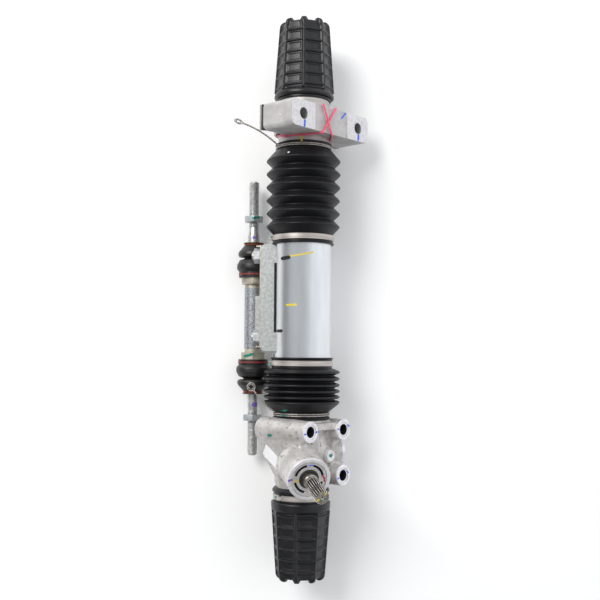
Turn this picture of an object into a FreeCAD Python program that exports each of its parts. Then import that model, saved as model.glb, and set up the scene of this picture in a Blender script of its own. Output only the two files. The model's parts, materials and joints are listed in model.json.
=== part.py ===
import FreeCAD, Part
import math
import os

from FreeCAD import Placement, Rotation, Vector

# Centre take-off steering rack, lying on a table as it is stored.
# Millimetres. Y runs along the rack towards the mounting block, Z is up.
# Pieces are built round the rack axis and moved to the final origin at the end.

# How it lies and where the take-off and the pinion point, in degrees about Y
lie_angle = 48.0
takeoff_turn = 172.0
mesh_angle = 150.0

# Stations along the rack
block_middle = 216.6
tube_top = 272.0
seat_bottom = 178.0
upper_cuff_top = 193.4
sleeve_length = 168.0
boss_row = -160.6
boss_row_gap = 56.8
pinion_station = -190.0
shoulder_station = -148.6
socket_depth = 30.0
casting_end = -262.0

# Rack, its guides and its housing
rack_diameter = 26.0
rack_length = 544.0
rack_top = 269.0
bush_clearance = 0.05
bush_length = 18.0
seat_diameter = 63.0
tube_diameter = 50.0
tube_wall = 4.0
tube_lip = 5.0
casting_diameter = 64.0
cover_neck_diameter = 61.0
casting_bore = 31.0
slot_width = 16.0
slide_clearance = 0.1
travel_down = 18.0
travel_up = 62.0

# Mounting block, rubber and strap
block_width = 142.0
block_height = 32.0
block_front = 45.7
block_back = -2.0
block_corner = 6.0
block_relief = 1.0
lug_width = 41.0
bolt_spacing = 101.8
bolt_hole = 13.5
isolator_thickness = 3.2
strap_thickness = 2.5

# End covers
cover_length = 96.2
cover_rim = 249.4
lower_cover_rim = -250.0
cover_rim_radius = 35.4
cover_end_radius = 28.8
cover_wall = 3.0
cover_rib_height = 1.9
cover_rib_width = 3.0
cover_ring_pitch = 13.7
cover_ring_width = 2.6
cover_rib_count = 8
cover_crest = 3.2

# Bellows and their fastenings
fold_count = 6
fold_radius = 45.8
valley_radius = 38.1
bellows_wall = 3.0
cuff_wall = 2.8
soft_gap = 0.3
upper_fold_drop = 20.8
lower_fold_rise = 21.6
fold_sleeve_gap = 6.7
cuff_grip = 9.3
cuff_room = 42.0
clamp_width = 7.5
clamp_thickness = 0.8
clamp_ear = 5.0
bellows_ear_turn = 192.0
cover_ear_turn = 222.0
wire_diameter = 1.5
pigtail_diameter = 2.0
band_diameter = 1.6
band_gap = 1.2
band_joint = 0.1

# Carriage sleeve, guide shoe and take-off
sleeve_diameter = 71.0
sleeve_wall = 2.5
sleeve_flat = 29.4
channel_middle = 2.2
channel_inset = 17.0
channel_width = 23.4
channel_outer = 51.0
channel_wall = 3.5
channel_relief = 4.4
channel_foot = 24.0
stud_inset = 33.0
stud_middle = 4.2
stud_diameter = 10.0
stud_proud = 2.6
nut_flats = 17.0
nut_height = 8.5
lock_thickness = 1.8
shoe_inset = 16.0
saddle_length = 56.0
saddle_outer = 62.0
saddle_foot = 36.0

# Link tube and ball joints
link_reach = 63.0
link_middle = -22.4
link_diameter = 23.0
link_bore = 14.0
link_half_length = 38.9
joint_hex_flats = 29.0
joint_hex_start = 43.8
joint_hex_length = 10.0
joint_cup_diameter = 33.0
joint_base = 56.7
joint_ball_offset = 8.2
ball_diameter = 20.0
seat_wall = 3.0
ball_clearance = 0.05
seat_mouth = 55.0
rod_neck_diameter = 11.0
boot_radius = 20.0
boot_waist_radius = 12.0
boot_lip_radius = 18.6
boot_end_radius = 10.4
boot_wall = 1.8
boot_cuff_wall = 1.8
boot_ring_wall = 0.8
boot_height = 40.4
disc_diameter = 26.4
disc_thickness = 1.4
collar_height = 2.2
thread_diameter = 12.0
thread_relief = 0.3
upper_body_diameter = 15.0
lower_body_diameter = 12.6
body_length = 18.0
rod_reach = 176.0
jam_nut_flats = 21.0
jam_nut_height = 7.4
jam_nut_station = 123.8

# Mounting bosses
boss_left = -33.6
boss_right = 28.0
boss_face_diameter = 26.0
boss_root_diameter = 31.0
boss_left_length = 80.0
boss_bore = 18.0
boss_bush_wall = 2.2

# Pinion, its bearings and the tower
pinion_teeth = 8
tooth_module = 2.0
pressure_angle = 25.0
pinion_lean = 17.0
pinion_addendum = 2.2
rack_addendum = 1.4
root_clearance = 0.3
tooth_thickness = 3.6
backlash = 0.14
mesh_width = 28.0
rack_flat_depth = 8.4
tower_diameter = 52.0
tower_height = 81.0
bearing_bore = 17.0
bearing_outer = 40.0
bearing_width = 12.0
bearing_race = 3.6
roller_count = 7
roller_play = 0.05
race_play = 0.4
retainer_diameter = 44.0
retainer_height = 10.0
retainer_slot_radius = 17.0
retainer_slot_width = 2.6
retainer_slot_arc = 62.0
seal_diameter = 23.6
lower_journal = 12.0
lower_bush_wall = 2.5
lower_bush_length = 16.0
spline_diameter = 17.0
spline_length = 38.0
stub_length = 50.0
spline_groove = 7.0

# Support yoke
yoke_diameter = 25.0
yoke_length = 14.0
yoke_tower_diameter = 34.0
yoke_tower_reach = 49.0
yoke_clearance = 0.05
yoke_plug_height = 10.0
spring_pleats = 6
spring_sheet = 1.2
spring_depth = 3.0
spring_diameter = 14.0

# Derived values
origin = Vector(0, 0, 0)
along = Vector(0, 1, 0)
full_turn = 360.0
past = 1.0
far = 200.0
block_half = block_width / 2
strap_back = block_back - isolator_thickness - strap_thickness
lie = math.radians(lie_angle)
rest_depth = block_half * math.sin(lie) - strap_back * math.cos(lie)
link_height = boot_radius - rest_depth
pitch_radius = pinion_teeth * tooth_module / 2
pinion_offset = rack_flat_depth + pitch_radius - rack_addendum
sleeve_middle = (cover_rim + lower_cover_rim) / 2 + 0.3
channel_length = sleeve_length - 2 * channel_inset
stud_spacing = sleeve_length - 2 * stud_inset
shoe_length = sleeve_length - 2 * shoe_inset
nodes = {}


# Plain shapes

def rod(diameter, start, end, x=0.0, z=0.0):
    return Part.makeCylinder(diameter / 2, end - start, Vector(x, start, z), along)


def pipe(outer, inner, start, end, x=0.0, z=0.0):
    return rod(outer, start, end, x, z).cut(rod(inner, start - past, end + past, x, z))


def box(x0, x1, y0, y1, z0, z1):
    return Part.makeBox(x1 - x0, y1 - y0, z1 - z0, Vector(x0, y0, z0))


def turned(points):
    # points are radius and station, revolved round the Y axis
    outline = [Vector(radius, station, 0) for radius, station in points]
    face = Part.Face(Part.makePolygon(outline + outline[:1]))
    return face.revolve(origin, along, full_turn)


def post(diameter, start, end, x=0.0, y=0.0):
    return Part.makeCylinder(diameter / 2, end - start, Vector(x, y, start))


def hexagon(flats, start, end):
    corner = flats / math.sqrt(3)
    corners = [60 * i for i in range(7)]
    points = [Vector(corner * math.sin(math.radians(a)), start, corner * math.cos(math.radians(a))) for a in corners]
    return Part.Face(Part.makePolygon(points)).extrude(Vector(0, end - start, 0))


def turn(shape, angle):
    moved = shape.copy()
    moved.rotate(origin, along, angle)
    return moved


def mirrored(shape, station):
    return shape.mirror(Vector(0, station, 0), along)


def join(*shapes):
    return shapes[0].fuse(list(shapes[1:])).removeSplitter()


def on_car(shape):
    # bolt direction is Z before the rack is rolled onto its side
    return turn(shape, lie_angle)


def on_takeoff(shape):
    # X points out of the slot, Z down to the table
    return turn(shape, takeoff_turn)


# Frames that other pieces share

def pinion_placement():
    side = Rotation(along, lie_angle + mesh_angle).multVec(Vector(1, 0, 0))
    square = Rotation(along, lie_angle + mesh_angle + 90).multVec(Vector(1, 0, 0))
    lean = math.radians(pinion_lean)
    axis = square * math.cos(lean) - along * math.sin(lean)
    base = side * pinion_offset + along * pinion_station
    return Placement(base, Rotation(side, axis.cross(side), axis, "ZXY"))


def on_pinion(shape):
    # Z is the pinion axis and the rack lies on the minus X side
    placed = shape.copy()
    placed.Placement = pinion_placement().multiply(placed.Placement)
    return placed


def yoke_placement():
    outward = Rotation(along, lie_angle + mesh_angle + 180).multVec(Vector(1, 0, 0))
    return Placement(along * pinion_station, Rotation(along.cross(outward), along, outward, "ZXY"))


def on_yoke(shape):
    # Z points away from the pinion
    placed = shape.copy()
    placed.Placement = yoke_placement().multiply(placed.Placement)
    return placed


# Housing tube with its slot and the seat of the mounting block

def slot_cut():
    low = channel_middle - shoe_length / 2 - travel_down - 2
    high = channel_middle + shoe_length / 2 + travel_up + 2
    return on_takeoff(box(rack_diameter / 2, far, low, high, -slot_width / 2, slot_width / 2))


def housing_tube():
    inner = tube_diameter / 2 - tube_wall
    spigot = shoulder_station + past
    ledge = tube_top - tube_lip - bush_length
    body = turned([
        (inner, spigot), (tube_diameter / 2, spigot), (tube_diameter / 2, seat_bottom - 6),
        (seat_diameter / 2, seat_bottom), (seat_diameter / 2, tube_top - 1), (seat_diameter / 2 - 1, tube_top),
        (inner + 3, tube_top), (inner + 3, ledge), (inner, ledge)])
    return body.cut(slot_cut())


def rack_bush_upper():
    end = tube_top - tube_lip
    outer = (tube_diameter / 2 - tube_wall + 3) * 2
    return pipe(outer, rack_diameter + 2 * bush_clearance, end - bush_length, end)


def rack_bush_lower():
    inner = rack_diameter + 2 * bush_clearance
    return pipe(casting_bore, inner, casting_end + tube_lip, casting_end + tube_lip + bush_length)


# Pinion housing casting

def boss_back_right():
    # the right bosses reach down to the table
    edge = boss_right + boss_face_diameter / 2
    return (edge * math.sin(lie) - rest_depth) / math.cos(lie)


def boss_places():
    low = boss_row - boss_row_gap
    back_left = block_front - boss_left_length
    back_right = boss_back_right()
    return [(boss_left, boss_row, back_left), (boss_right, boss_row, back_right), (boss_right, low, back_right)]


def boss_bodies():
    x, y, back = boss_places()[0]
    left = Part.makeCone(boss_root_diameter / 2, boss_face_diameter / 2, block_front - back, Vector(x, y, back))
    right = [post(boss_face_diameter, back, block_front, x, y) for x, y, back in boss_places()[1:]]
    return [on_car(shape) for shape in [left] + right]


def casting_webs():
    low = boss_row - boss_row_gap
    barrel = casting_diameter / 2
    top_wall = box(boss_left, boss_right, boss_row, boss_row + 9, -barrel / 2, block_front - 4)
    right_wall = box(0, boss_right + 6, low, boss_row, -barrel + 4, 8)
    cross_wall = box(boss_right - 4, boss_right + 4, low, boss_row, 0, block_front - 14)
    low_wall = box(-6, boss_right, low - 5, low + 3, -barrel + 8, block_front - 12)
    return [on_car(shape) for shape in (top_wall, right_wall, cross_wall, low_wall)]


def label_web():
    # flat gusset from the left boss to the tower
    outline = [(-49, -166), (-48, -184), (-29, -216), (-4, -216), (-4, -166)]
    points = [Vector(x, y, -9) for x, y in outline]
    return Part.Face(Part.makePolygon(points + points[:1])).extrude(Vector(0, 0, 22))


def plug_place():
    return Vector(13.0, -192.7, block_front - 9)


def casting_body():
    end = cover_neck_diameter / 2
    barrel = casting_diameter / 2
    top = shoulder_station + socket_depth
    turned_body = turned([
        (0, top), (barrel - 1, top), (barrel, top - 1), (barrel, shoulder_station),
        (barrel + 2.5, shoulder_station), (barrel + 2.5, shoulder_station - 3), (barrel + 1, shoulder_station - 3),
        (barrel + 1, lower_cover_rim + 24), (end, lower_cover_rim + 18), (end, casting_end), (0, casting_end)])
    tower = Part.makeCone(tower_diameter / 2 + 1.5, tower_diameter / 2, tower_height + 8, Vector(0, 0, -8))
    shoulder = Part.makeCone(tower_diameter / 2 + 5, tower_diameter / 2 + 1, 34, Vector(0, 0, 10))
    foot_height = mesh_width / 2 + lower_bush_length + 4
    foot = Part.makeCone(13, 15, foot_height, Vector(0, 0, -foot_height))
    yoke_tower = Part.makeCylinder(yoke_tower_diameter / 2, yoke_tower_reach)
    place = plug_place()
    plug_boss = Part.makeCone(13, 9.6, place.z, Vector(place.x, place.y, 0))
    placed = [on_pinion(tower), on_pinion(shoulder), on_pinion(foot), on_yoke(yoke_tower), on_car(plug_boss)]
    return join(turned_body, *placed, *boss_bodies(), *casting_webs(), label_web())


def pinion_bore():
    teeth = pitch_radius + pinion_addendum + 1
    low = -mesh_width / 2 - 1
    shelf = tower_height - retainer_height
    bottom = low - lower_bush_length
    bush = lower_journal / 2 + lower_bush_wall
    bore = [
        (0, bottom), (bush, bottom), (bush, low), (teeth, low), (teeth, -low), (12, -low + 1),
        (12, shelf - bearing_width), (bearing_outer / 2, shelf - bearing_width), (bearing_outer / 2, shelf),
        (retainer_diameter / 2, shelf), (retainer_diameter / 2, tower_height + past), (0, tower_height + past)]
    points = [Vector(radius, 0, height) for radius, height in bore]
    face = Part.Face(Part.makePolygon(points + points[:1]))
    return on_pinion(face.revolve(origin, Vector(0, 0, 1), full_turn))


def pinion_housing():
    body = casting_body()
    body = body.cut(rod(tube_diameter, shoulder_station + past, shoulder_station + socket_depth + past))
    body = body.cut(pipe(2 * cuff_room, casting_diameter, shoulder_station, shoulder_station + socket_depth))
    body = body.cut(rod(casting_bore, casting_end - past, shoulder_station + 2 * past))
    body = body.cut(pinion_bore())
    body = body.cut(on_yoke(post(yoke_diameter, 0, yoke_tower_reach + past)))
    for x, y, back in boss_places():
        body = body.cut(on_car(post(boss_bore, back - past, block_front + past, x, y)))
    place = plug_place()
    body = body.cut(on_car(post(14.0, place.z - 6, place.z + past, place.x, place.y)))
    return body.removeSplitter()


def boss_bushes():
    bushes = []
    for x, y, back in boss_places():
        outer = post(boss_bore, back, block_front - 0.6, x, y)
        bore = post(boss_bore - 2 * boss_bush_wall, back - past, block_front + past, x, y)
        bushes.append(on_car(outer.cut(bore)))
    return Part.makeCompound(bushes)


def housing_plug():
    place = plug_place()
    plug = post(14.0, place.z - 6, place.z + 1.2, place.x, place.y)
    rim = post(9.0, place.z + 0.6, place.z + 3, place.x, place.y)
    return on_car(plug.cut(rim))


# Support yoke and its plug

def support_yoke():
    pad = post(yoke_diameter - 2 * yoke_clearance, 6, rack_diameter / 2 + yoke_length)
    pocket = post(spring_diameter + 2 * spring_sheet + 1, rack_diameter / 2 + 6, far)
    half = yoke_diameter
    saddle = rod(rack_diameter + 2 * bush_clearance, pinion_station - half, pinion_station + half)
    return on_yoke(pad.cut(pocket)).cut(saddle)


def yoke_spring():
    # pleated spring ring, coned in and out between the yoke and its plug
    bottom = rack_diameter / 2 + 6
    pitch = (yoke_tower_reach - yoke_plug_height - bottom) / spring_pleats
    rim = spring_diameter / 2
    inside = [(rim - (i % 2) * spring_depth, bottom + pitch * i) for i in range(spring_pleats + 1)]
    outside = [(radius + spring_sheet, height) for radius, height in reversed(inside)]
    points = [Vector(radius, 0, height) for radius, height in inside + outside]
    face = Part.Face(Part.makePolygon(points + points[:1]))
    return on_yoke(face.revolve(origin, Vector(0, 0, 1), full_turn))


def yoke_plug():
    top = yoke_tower_reach + 1.5
    plug = post(yoke_diameter, yoke_tower_reach - yoke_plug_height, top)
    socket = turn_upright(hexagon(14.0, top - 6, top + past))
    return on_yoke(plug.cut(socket))


def yoke_lock_ring():
    ring = post(yoke_tower_diameter - 1, yoke_tower_reach, yoke_tower_reach + 4)
    return on_yoke(ring.cut(post(yoke_diameter, yoke_tower_reach - past, yoke_tower_reach + 5)))


def turn_upright(shape):
    # stands a piece built along Y up along Z
    stood = shape.copy()
    stood.rotate(origin, Vector(1, 0, 0), 90)
    return stood


# Pinion shaft with involute teeth, bearings, retainer and seal

def involute_point(radius, start_angle, side):
    base = pitch_radius * math.cos(math.radians(pressure_angle))
    pressure = math.acos(base / radius)
    angle = side * (start_angle - (math.tan(pressure) - pressure))
    return radius, angle


def pinion_tooth_ring():
    pressure = math.radians(pressure_angle)
    base = pitch_radius * math.cos(pressure)
    root = pitch_radius - rack_addendum - root_clearance
    tip = pitch_radius + pinion_addendum
    half = tooth_thickness / (2 * pitch_radius) + math.tan(pressure) - pressure
    radii = [base + (tip - base) * i / 4 for i in range(5)]
    edges = []
    first = None
    last = None
    for tooth in range(pinion_teeth):
        middle = math.pi + tooth * 2 * math.pi / pinion_teeth
        rising = [polar(*involute_point(radius, half, -1), middle) for radius in radii]
        falling = [polar(*involute_point(radius, half, 1), middle) for radius in reversed(radii)]
        foot = polar(root, -half, middle)
        heel = polar(root, half, middle)
        if last is not None:
            edges.append(Part.makeLine(last, foot))
        else:
            first = foot
        edges.append(Part.makeLine(foot, rising[0]))
        edges.append(flank(rising))
        edges.append(Part.makeLine(rising[-1], falling[0]))
        edges.append(flank(falling))
        edges.append(Part.makeLine(falling[-1], heel))
        last = heel
    edges.append(Part.makeLine(last, first))
    face = Part.Face(Part.Wire(edges))
    face.translate(Vector(0, 0, -mesh_width / 2))
    return face.extrude(Vector(0, 0, mesh_width))


def polar(radius, angle, middle):
    return Vector(radius * math.cos(middle + angle), radius * math.sin(middle + angle), 0)


def flank(points):
    curve = Part.BSplineCurve()
    curve.interpolate(points)
    return curve.toShape()


def pinion_shaft():
    low = -mesh_width / 2
    bearing_start = tower_height - retainer_height - bearing_width
    journal = post(lower_journal - 2 * bush_clearance, low - lower_bush_length + past, low)
    collar = post(bearing_bore + 4, mesh_width / 2, bearing_start)
    upper = post(bearing_bore, bearing_start, tower_height + stub_length - spline_length)
    end = tower_height + stub_length
    spline = post(spline_diameter, tower_height + stub_length - spline_length, end)
    groove_at = end - spline_length / 2
    groove = post(spline_diameter + 2, groove_at - spline_groove / 2, groove_at + spline_groove / 2)
    groove = groove.cut(post(spline_diameter - 2.4, groove_at - spline_groove, groove_at + spline_groove))
    drill = Part.makeCone(0.3, 2.4, 4, Vector(0, 0, end - 4 + 0.01))
    return on_pinion(join(pinion_tooth_ring(), journal, collar, upper, spline.cut(groove)).cut(drill))


def bearing_height():
    return tower_height - retainer_height - bearing_width


def raceway(outer, inner, play):
    start = bearing_height() + play
    end = bearing_height() + bearing_width - play
    return on_pinion(post(outer, start, end).cut(post(inner, start - past, end + past)))


def bearing_outer_race():
    return raceway(bearing_outer, bearing_outer - 2 * bearing_race, 0)


def bearing_inner_race():
    return raceway(bearing_bore + 2 * bearing_race, bearing_bore, race_play)


def bearing_rollers():
    middle = (bearing_bore + bearing_outer) / 4
    size = (bearing_outer - bearing_bore) / 2 - 2 * bearing_race - 2 * roller_play
    start = bearing_height() + past
    rollers = []
    for i in range(roller_count):
        angle = 2 * math.pi * i / roller_count
        rollers.append(post(size, start, start + bearing_width - 2 * past, middle * math.cos(angle),
                            middle * math.sin(angle)))
    return on_pinion(Part.makeCompound(rollers))


def pinion_lower_bush():
    low = -mesh_width / 2 - 1
    outer = lower_journal + 2 * lower_bush_wall
    bush = post(outer, low - lower_bush_length, low)
    return on_pinion(bush.cut(post(lower_journal, low - lower_bush_length - past, low + past)))


def pinion_retainer():
    start = tower_height - retainer_height
    top = tower_height - 1.2
    ring = post(retainer_diameter, start, top)
    ring = ring.cut(post(seal_diameter, start - past, top + past))
    for i in range(4):
        ring = ring.cut(arc_slot(90 * i + 14, top))
    return on_pinion(ring)


def arc_slot(start_angle, top):
    inner = retainer_slot_radius - retainer_slot_width / 2
    outer = retainer_slot_radius + retainer_slot_width / 2
    depth = 4.0
    axis = Vector(0, 0, 1)
    ring = Part.makeCylinder(outer, depth, Vector(0, 0, top - depth + 0.01), axis, retainer_slot_arc)
    ring = ring.cut(Part.makeCylinder(inner, depth + 2, Vector(0, 0, top - depth - 1)))
    ring.rotate(origin, axis, start_angle)
    return ring


def pinion_seal():
    start = tower_height - retainer_height
    seal = post(seal_diameter, start, tower_height - 0.4)
    return on_pinion(seal.cut(post(bearing_bore + 0.2, start - past, tower_height + past)))


# Rack bar with teeth, guide shoe

def rack_teeth_cut():
    pitch = math.pi * tooth_module
    slope = math.tan(math.radians(pressure_angle))
    surface = -pitch_radius + rack_addendum
    floor = -pitch_radius - pinion_addendum - root_clearance
    half = (tooth_thickness + backlash) / 2
    top_half = half + rack_addendum * slope
    floor_half = half - (pinion_addendum + root_clearance) * slope
    reach = 2 * rack_diameter
    low = round(-rack_teeth_up() / pitch)
    high = round(rack_teeth_down() / pitch)
    points = [Vector(far / 10, low * pitch - pitch / 2, -reach), Vector(surface, low * pitch - pitch / 2, -reach)]
    for i in range(low, high + 1):
        middle = i * pitch
        for x, y in ((surface, -top_half), (floor, -floor_half), (floor, floor_half), (surface, top_half)):
            points.append(Vector(x, middle + y, -reach))
    points.append(Vector(surface, high * pitch + pitch / 2, -reach))
    points.append(Vector(far / 10, high * pitch + pitch / 2, -reach))
    face = Part.Face(Part.makePolygon(points + points[:1]))
    return on_pinion(face.extrude(Vector(0, 0, 2 * reach)))


def rack_teeth_up():
    # teeth above the pinion at rest, used as the rack moves down
    return travel_down + 16


def rack_teeth_down():
    return travel_up + 14


def stud_places():
    return [stud_middle - stud_spacing / 2, stud_middle + stud_spacing / 2]


def shoe_floor():
    return rack_diameter / 2 - 1.5


def rack_bar():
    low = rack_top - rack_length
    end = rack_diameter / 2
    bar = turned([
        (0, low), (end - 1.5, low), (end, low + 1.5), (end, rack_top - 1.5), (end - 1.5, rack_top), (0, rack_top)])
    bar = bar.cut(rack_teeth_cut())
    half = shoe_length / 2
    flat = box(shoe_floor(), far, channel_middle - half, channel_middle + half, -far / 2, far / 2)
    bar = bar.cut(on_takeoff(flat))
    for station in stud_places():
        bar = bar.cut(stud_hole(station, stud_diameter, -6, far))
    return bar


def stud_hole(station, diameter, start, end):
    hole = Part.makeCylinder(diameter / 2, end - start, Vector(start, station, 0), Vector(1, 0, 0))
    return on_takeoff(hole)


def guide_shoe():
    half = slot_width / 2 - slide_clearance
    low = channel_middle - shoe_length / 2
    high = channel_middle + shoe_length / 2
    roof = sleeve_flat - sleeve_wall
    shoe = box(shoe_floor(), roof, low, high, -half, half)
    shoe = on_takeoff(shoe)
    for station in stud_places():
        shoe = shoe.cut(stud_hole(station, stud_diameter, 0, far))
    return shoe


# Carriage sleeve and the take-off channel

def carriage_sleeve():
    low = sleeve_middle - sleeve_length / 2
    high = sleeve_middle + sleeve_length / 2
    half = shoe_length / 2 + 1
    skin = rod(sleeve_diameter, low, high)
    press = box(sleeve_flat, far, channel_middle - half, channel_middle + half, -far, far)
    hollow = rod(sleeve_diameter - 2 * sleeve_wall, low - past, high + past)
    inner = half + sleeve_wall
    wall = box(sleeve_flat - sleeve_wall, far, channel_middle - inner, channel_middle + inner, -far, far)
    sleeve = skin.cut(on_takeoff(press)).cut(hollow.cut(on_takeoff(wall)))
    for station in stud_places():
        sleeve = sleeve.cut(stud_hole(station, stud_diameter, 0, far))
    return sleeve


def takeoff_channel():
    low = channel_middle - channel_length / 2
    high = channel_middle + channel_length / 2
    half = channel_width / 2
    block = box(sleeve_flat, channel_outer, low, high, -half, half)
    block = block.makeFillet(6.0, [edge for edge in block.Edges if is_end_corner(edge)])
    pocket = box(sleeve_flat - past, channel_outer - channel_wall, low + channel_wall, high - channel_wall,
                 -half + channel_wall, half - channel_wall)
    relief = box(sleeve_flat - past, sleeve_flat + channel_relief, low + channel_foot, high - channel_foot, -half, half)
    channel = block.cut(pocket).cut(relief)
    channel = on_takeoff(channel)
    saddle_low = link_middle - saddle_length / 2
    saddle = on_takeoff(box(channel_outer - channel_wall, saddle_outer, saddle_low, saddle_low + saddle_length,
                            half - 1, saddle_foot))
    saddle = saddle.cut(rod(link_diameter, -far, far, -link_reach, link_height))
    channel = join(channel, saddle)
    for station in stud_places():
        channel = channel.cut(stud_hole(station, stud_diameter, 0, far))
    return channel


def is_end_corner(edge):
    # the four outer corners of the channel's two ends
    ends = [vertex.Point for vertex in edge.Vertexes]
    upright = abs(ends[0].x - ends[1].x) < past and abs(ends[0].y - ends[1].y) < past
    return upright and ends[0].x > channel_outer - past


def takeoff_spacers():
    spacers = []
    for station in stud_places():
        outer = Part.makeCylinder(8, channel_outer - channel_wall - sleeve_flat, Vector(sleeve_flat, station, 0),
                                  Vector(1, 0, 0))
        spacers.append(on_takeoff(outer).cut(stud_hole(station, stud_diameter, 0, far)))
    return Part.makeCompound(spacers)


def lock_plate():
    face = channel_outer
    half = nut_flats / 2
    corner = nut_flats / math.sqrt(3)
    low, high = stud_places()
    plate = box(face, face + lock_thickness, low - corner - 3, high + corner + 3, -half, half)
    tab_low = box(face, face + 7, low - corner - 3, low - corner - 3 + lock_thickness, -half + 3, half - 3)
    tab_high = box(face, face + 7, high + corner + 3 - lock_thickness, high + corner + 3, -half + 3, half - 3)
    plate = on_takeoff(join(plate, tab_low, tab_high))
    for station in stud_places():
        plate = plate.cut(stud_hole(station, stud_diameter, 0, far))
    return plate


def takeoff_nuts():
    nuts = []
    face = channel_outer + lock_thickness
    for station in stud_places():
        nut = hexagon(nut_flats, 0, nut_height)
        nut.rotate(origin, Vector(0, 0, 1), -90)
        nut.rotate(origin, Vector(1, 0, 0), 30)
        nut.translate(Vector(face, station, 0))
        nuts.append(on_takeoff(nut).cut(stud_hole(station, stud_diameter, 0, far)))
    return Part.makeCompound(nuts)


def takeoff_studs():
    end = channel_outer + lock_thickness + nut_height + stud_proud
    return Part.makeCompound([stud_hole(station, stud_diameter, -6, end) for station in stud_places()])


# Link tube with a ball joint at each end; distances are counted from its middle

def at_link(shape):
    moved = shape.copy()
    moved.translate(Vector(-link_reach, link_middle, link_height))
    return moved


def both_ends(shape):
    return {"upper": at_link(shape), "lower": at_link(mirrored(shape, 0))}


def ball_station():
    return joint_base + joint_ball_offset - 6


def link_tube():
    return at_link(pipe(link_diameter, link_bore, -link_half_length, link_half_length))


def joint_housing():
    start = link_half_length
    centre = ball_station()
    cavity = ball_diameter / 2 + seat_wall + ball_clearance
    mouth = centre + cavity * math.cos(math.radians(56))
    collar = rod(link_diameter - 1, start, joint_hex_start)
    spigot = rod(link_bore, start - 12, start)
    nut = hexagon(joint_hex_flats, joint_hex_start, joint_hex_start + joint_hex_length)
    cup = rod(joint_cup_diameter, joint_hex_start + joint_hex_length - past, mouth)
    body = join(spigot, collar, nut, cup)
    body = body.cut(Part.makeSphere(cavity, Vector(0, centre, 0)))
    return body.cut(Part.makeCone(cavity * 0.8, cavity + 1, 6, Vector(0, mouth - 4.5, 0), along))


def ball_seat():
    centre = Vector(0, ball_station(), 0)
    outer = Part.makeSphere(ball_diameter / 2 + seat_wall, centre)
    inner = Part.makeSphere(ball_diameter / 2 + ball_clearance, centre)
    reach = ball_diameter / 2 + seat_wall
    mouth = Part.makeCone(0, reach * 2 * math.tan(math.radians(seat_mouth)), reach * 2, centre, along)
    return outer.cut(inner).cut(mouth)


def tie_rod(body_diameter):
    centre = ball_station()
    ball = Part.makeSphere(ball_diameter / 2, Vector(0, centre, 0))
    disc = joint_base + boot_height
    thread = thread_diameter / 2
    body = body_diameter / 2
    shoulder = disc + body_length
    free = jam_nut_station + jam_nut_height
    stem = turned([
        (0, centre), (rod_neck_diameter / 2, centre), (rod_neck_diameter / 2, disc - 16),
        (thread - 0.5, disc - 12), (thread - 0.5, disc - collar_height), (body, disc - collar_height),
        (body, shoulder), (thread - thread_relief, shoulder + 3), (thread - thread_relief, free), (thread, free),
        (thread, rod_reach - 1.5), (thread - 1.5, rod_reach), (0, rod_reach)])
    return join(ball, stem)


def boot():
    # one closed rubber skin in two bulges, from the cup to the rod
    base = joint_base
    cup = joint_cup_diameter / 2 + soft_gap
    top = base + boot_height - collar_height - soft_gap
    waist = base + 22
    outer = [
        (cup + boot_cuff_wall, base - 5), (cup + boot_cuff_wall, base - 1), (boot_radius - 0.6, base + 3),
        (boot_radius, base + 7),
        (boot_radius - 0.8, base + 12), (boot_radius - 4, base + 17), (boot_waist_radius, waist - 1.5),
        (boot_waist_radius, waist - 0.5), (boot_lip_radius, waist + 1.5), (boot_lip_radius + 1, waist + 3.5),
        (boot_end_radius, top)]
    inner = [
        (body_clear(), top), (boot_lip_radius - 2, waist + 4.4), (boot_waist_radius - boot_wall, waist + 1.2),
        (boot_waist_radius - boot_wall, waist - 2.5), (boot_radius - 6, base + 15), (boot_radius - 3, base + 11),
        (boot_radius - 2, base + 7), (boot_radius - 2.6, base + 3.6), (cup, base + 1), (cup, base - 5)]
    return turned(outer + inner)


def body_clear():
    return thread_diameter / 2 + soft_gap


def boot_ring():
    cuff = joint_cup_diameter / 2 + soft_gap + boot_cuff_wall
    return pipe(2 * (cuff + boot_ring_wall), 2 * cuff, joint_base - 4.4, joint_base - 2)


def boot_collar(body_diameter):
    end = joint_base + boot_height
    return pipe(2 * boot_end_radius, body_diameter, end - collar_height, end - disc_thickness)


def rod_disc(body_diameter):
    end = joint_base + boot_height
    return pipe(disc_diameter, body_diameter, end - disc_thickness, end)


def jam_nut():
    nut = hexagon(jam_nut_flats, jam_nut_station, jam_nut_station + jam_nut_height)
    return nut.cut(rod(thread_diameter - 2 * thread_relief, 0, rod_reach))


# Mounting block, rubber isolator and strap, built with the bolts along Z

def bolt_holes(shape):
    for side in (-1, 1):
        hole = post(bolt_hole, -far, far, side * bolt_spacing / 2, block_middle)
        shape = shape.cut(hole)
    return shape


def saddle_layer(inner, thickness, top):
    # flat ears that turn into a half round behind the tube
    low = block_middle - block_height / 2
    high = block_middle + block_height / 2
    ears = box(-block_half, block_half, low, high, top - thickness, top)
    round_part = pipe(inner + 2 * thickness, inner, low, high).cut(box(-far, far, low - far, far * 3, top, far))
    layer = join(ears.cut(rod(inner, low - past, high + past)), round_part)
    return on_car(bolt_holes(layer))


def mounting_block():
    low = block_middle - block_height / 2
    high = block_middle + block_height / 2
    block = box(-block_half, block_half, low, high, block_back, block_front)
    corners = [edge for edge in block.Edges if is_block_corner(edge)]
    block = block.makeFillet(block_corner, corners)
    inner = block_half - lug_width
    relief = box(-inner, inner, low - past, high + past, block_front - block_relief, far)
    block = block.cut(relief).cut(rod(seat_diameter, low - past, high + past))
    return on_car(bolt_holes(block))


def is_block_corner(edge):
    ends = [vertex.Point for vertex in edge.Vertexes]
    return abs(ends[0].z - ends[1].z) > block_front / 2


def block_isolator():
    return saddle_layer(seat_diameter, isolator_thickness, block_back)


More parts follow.
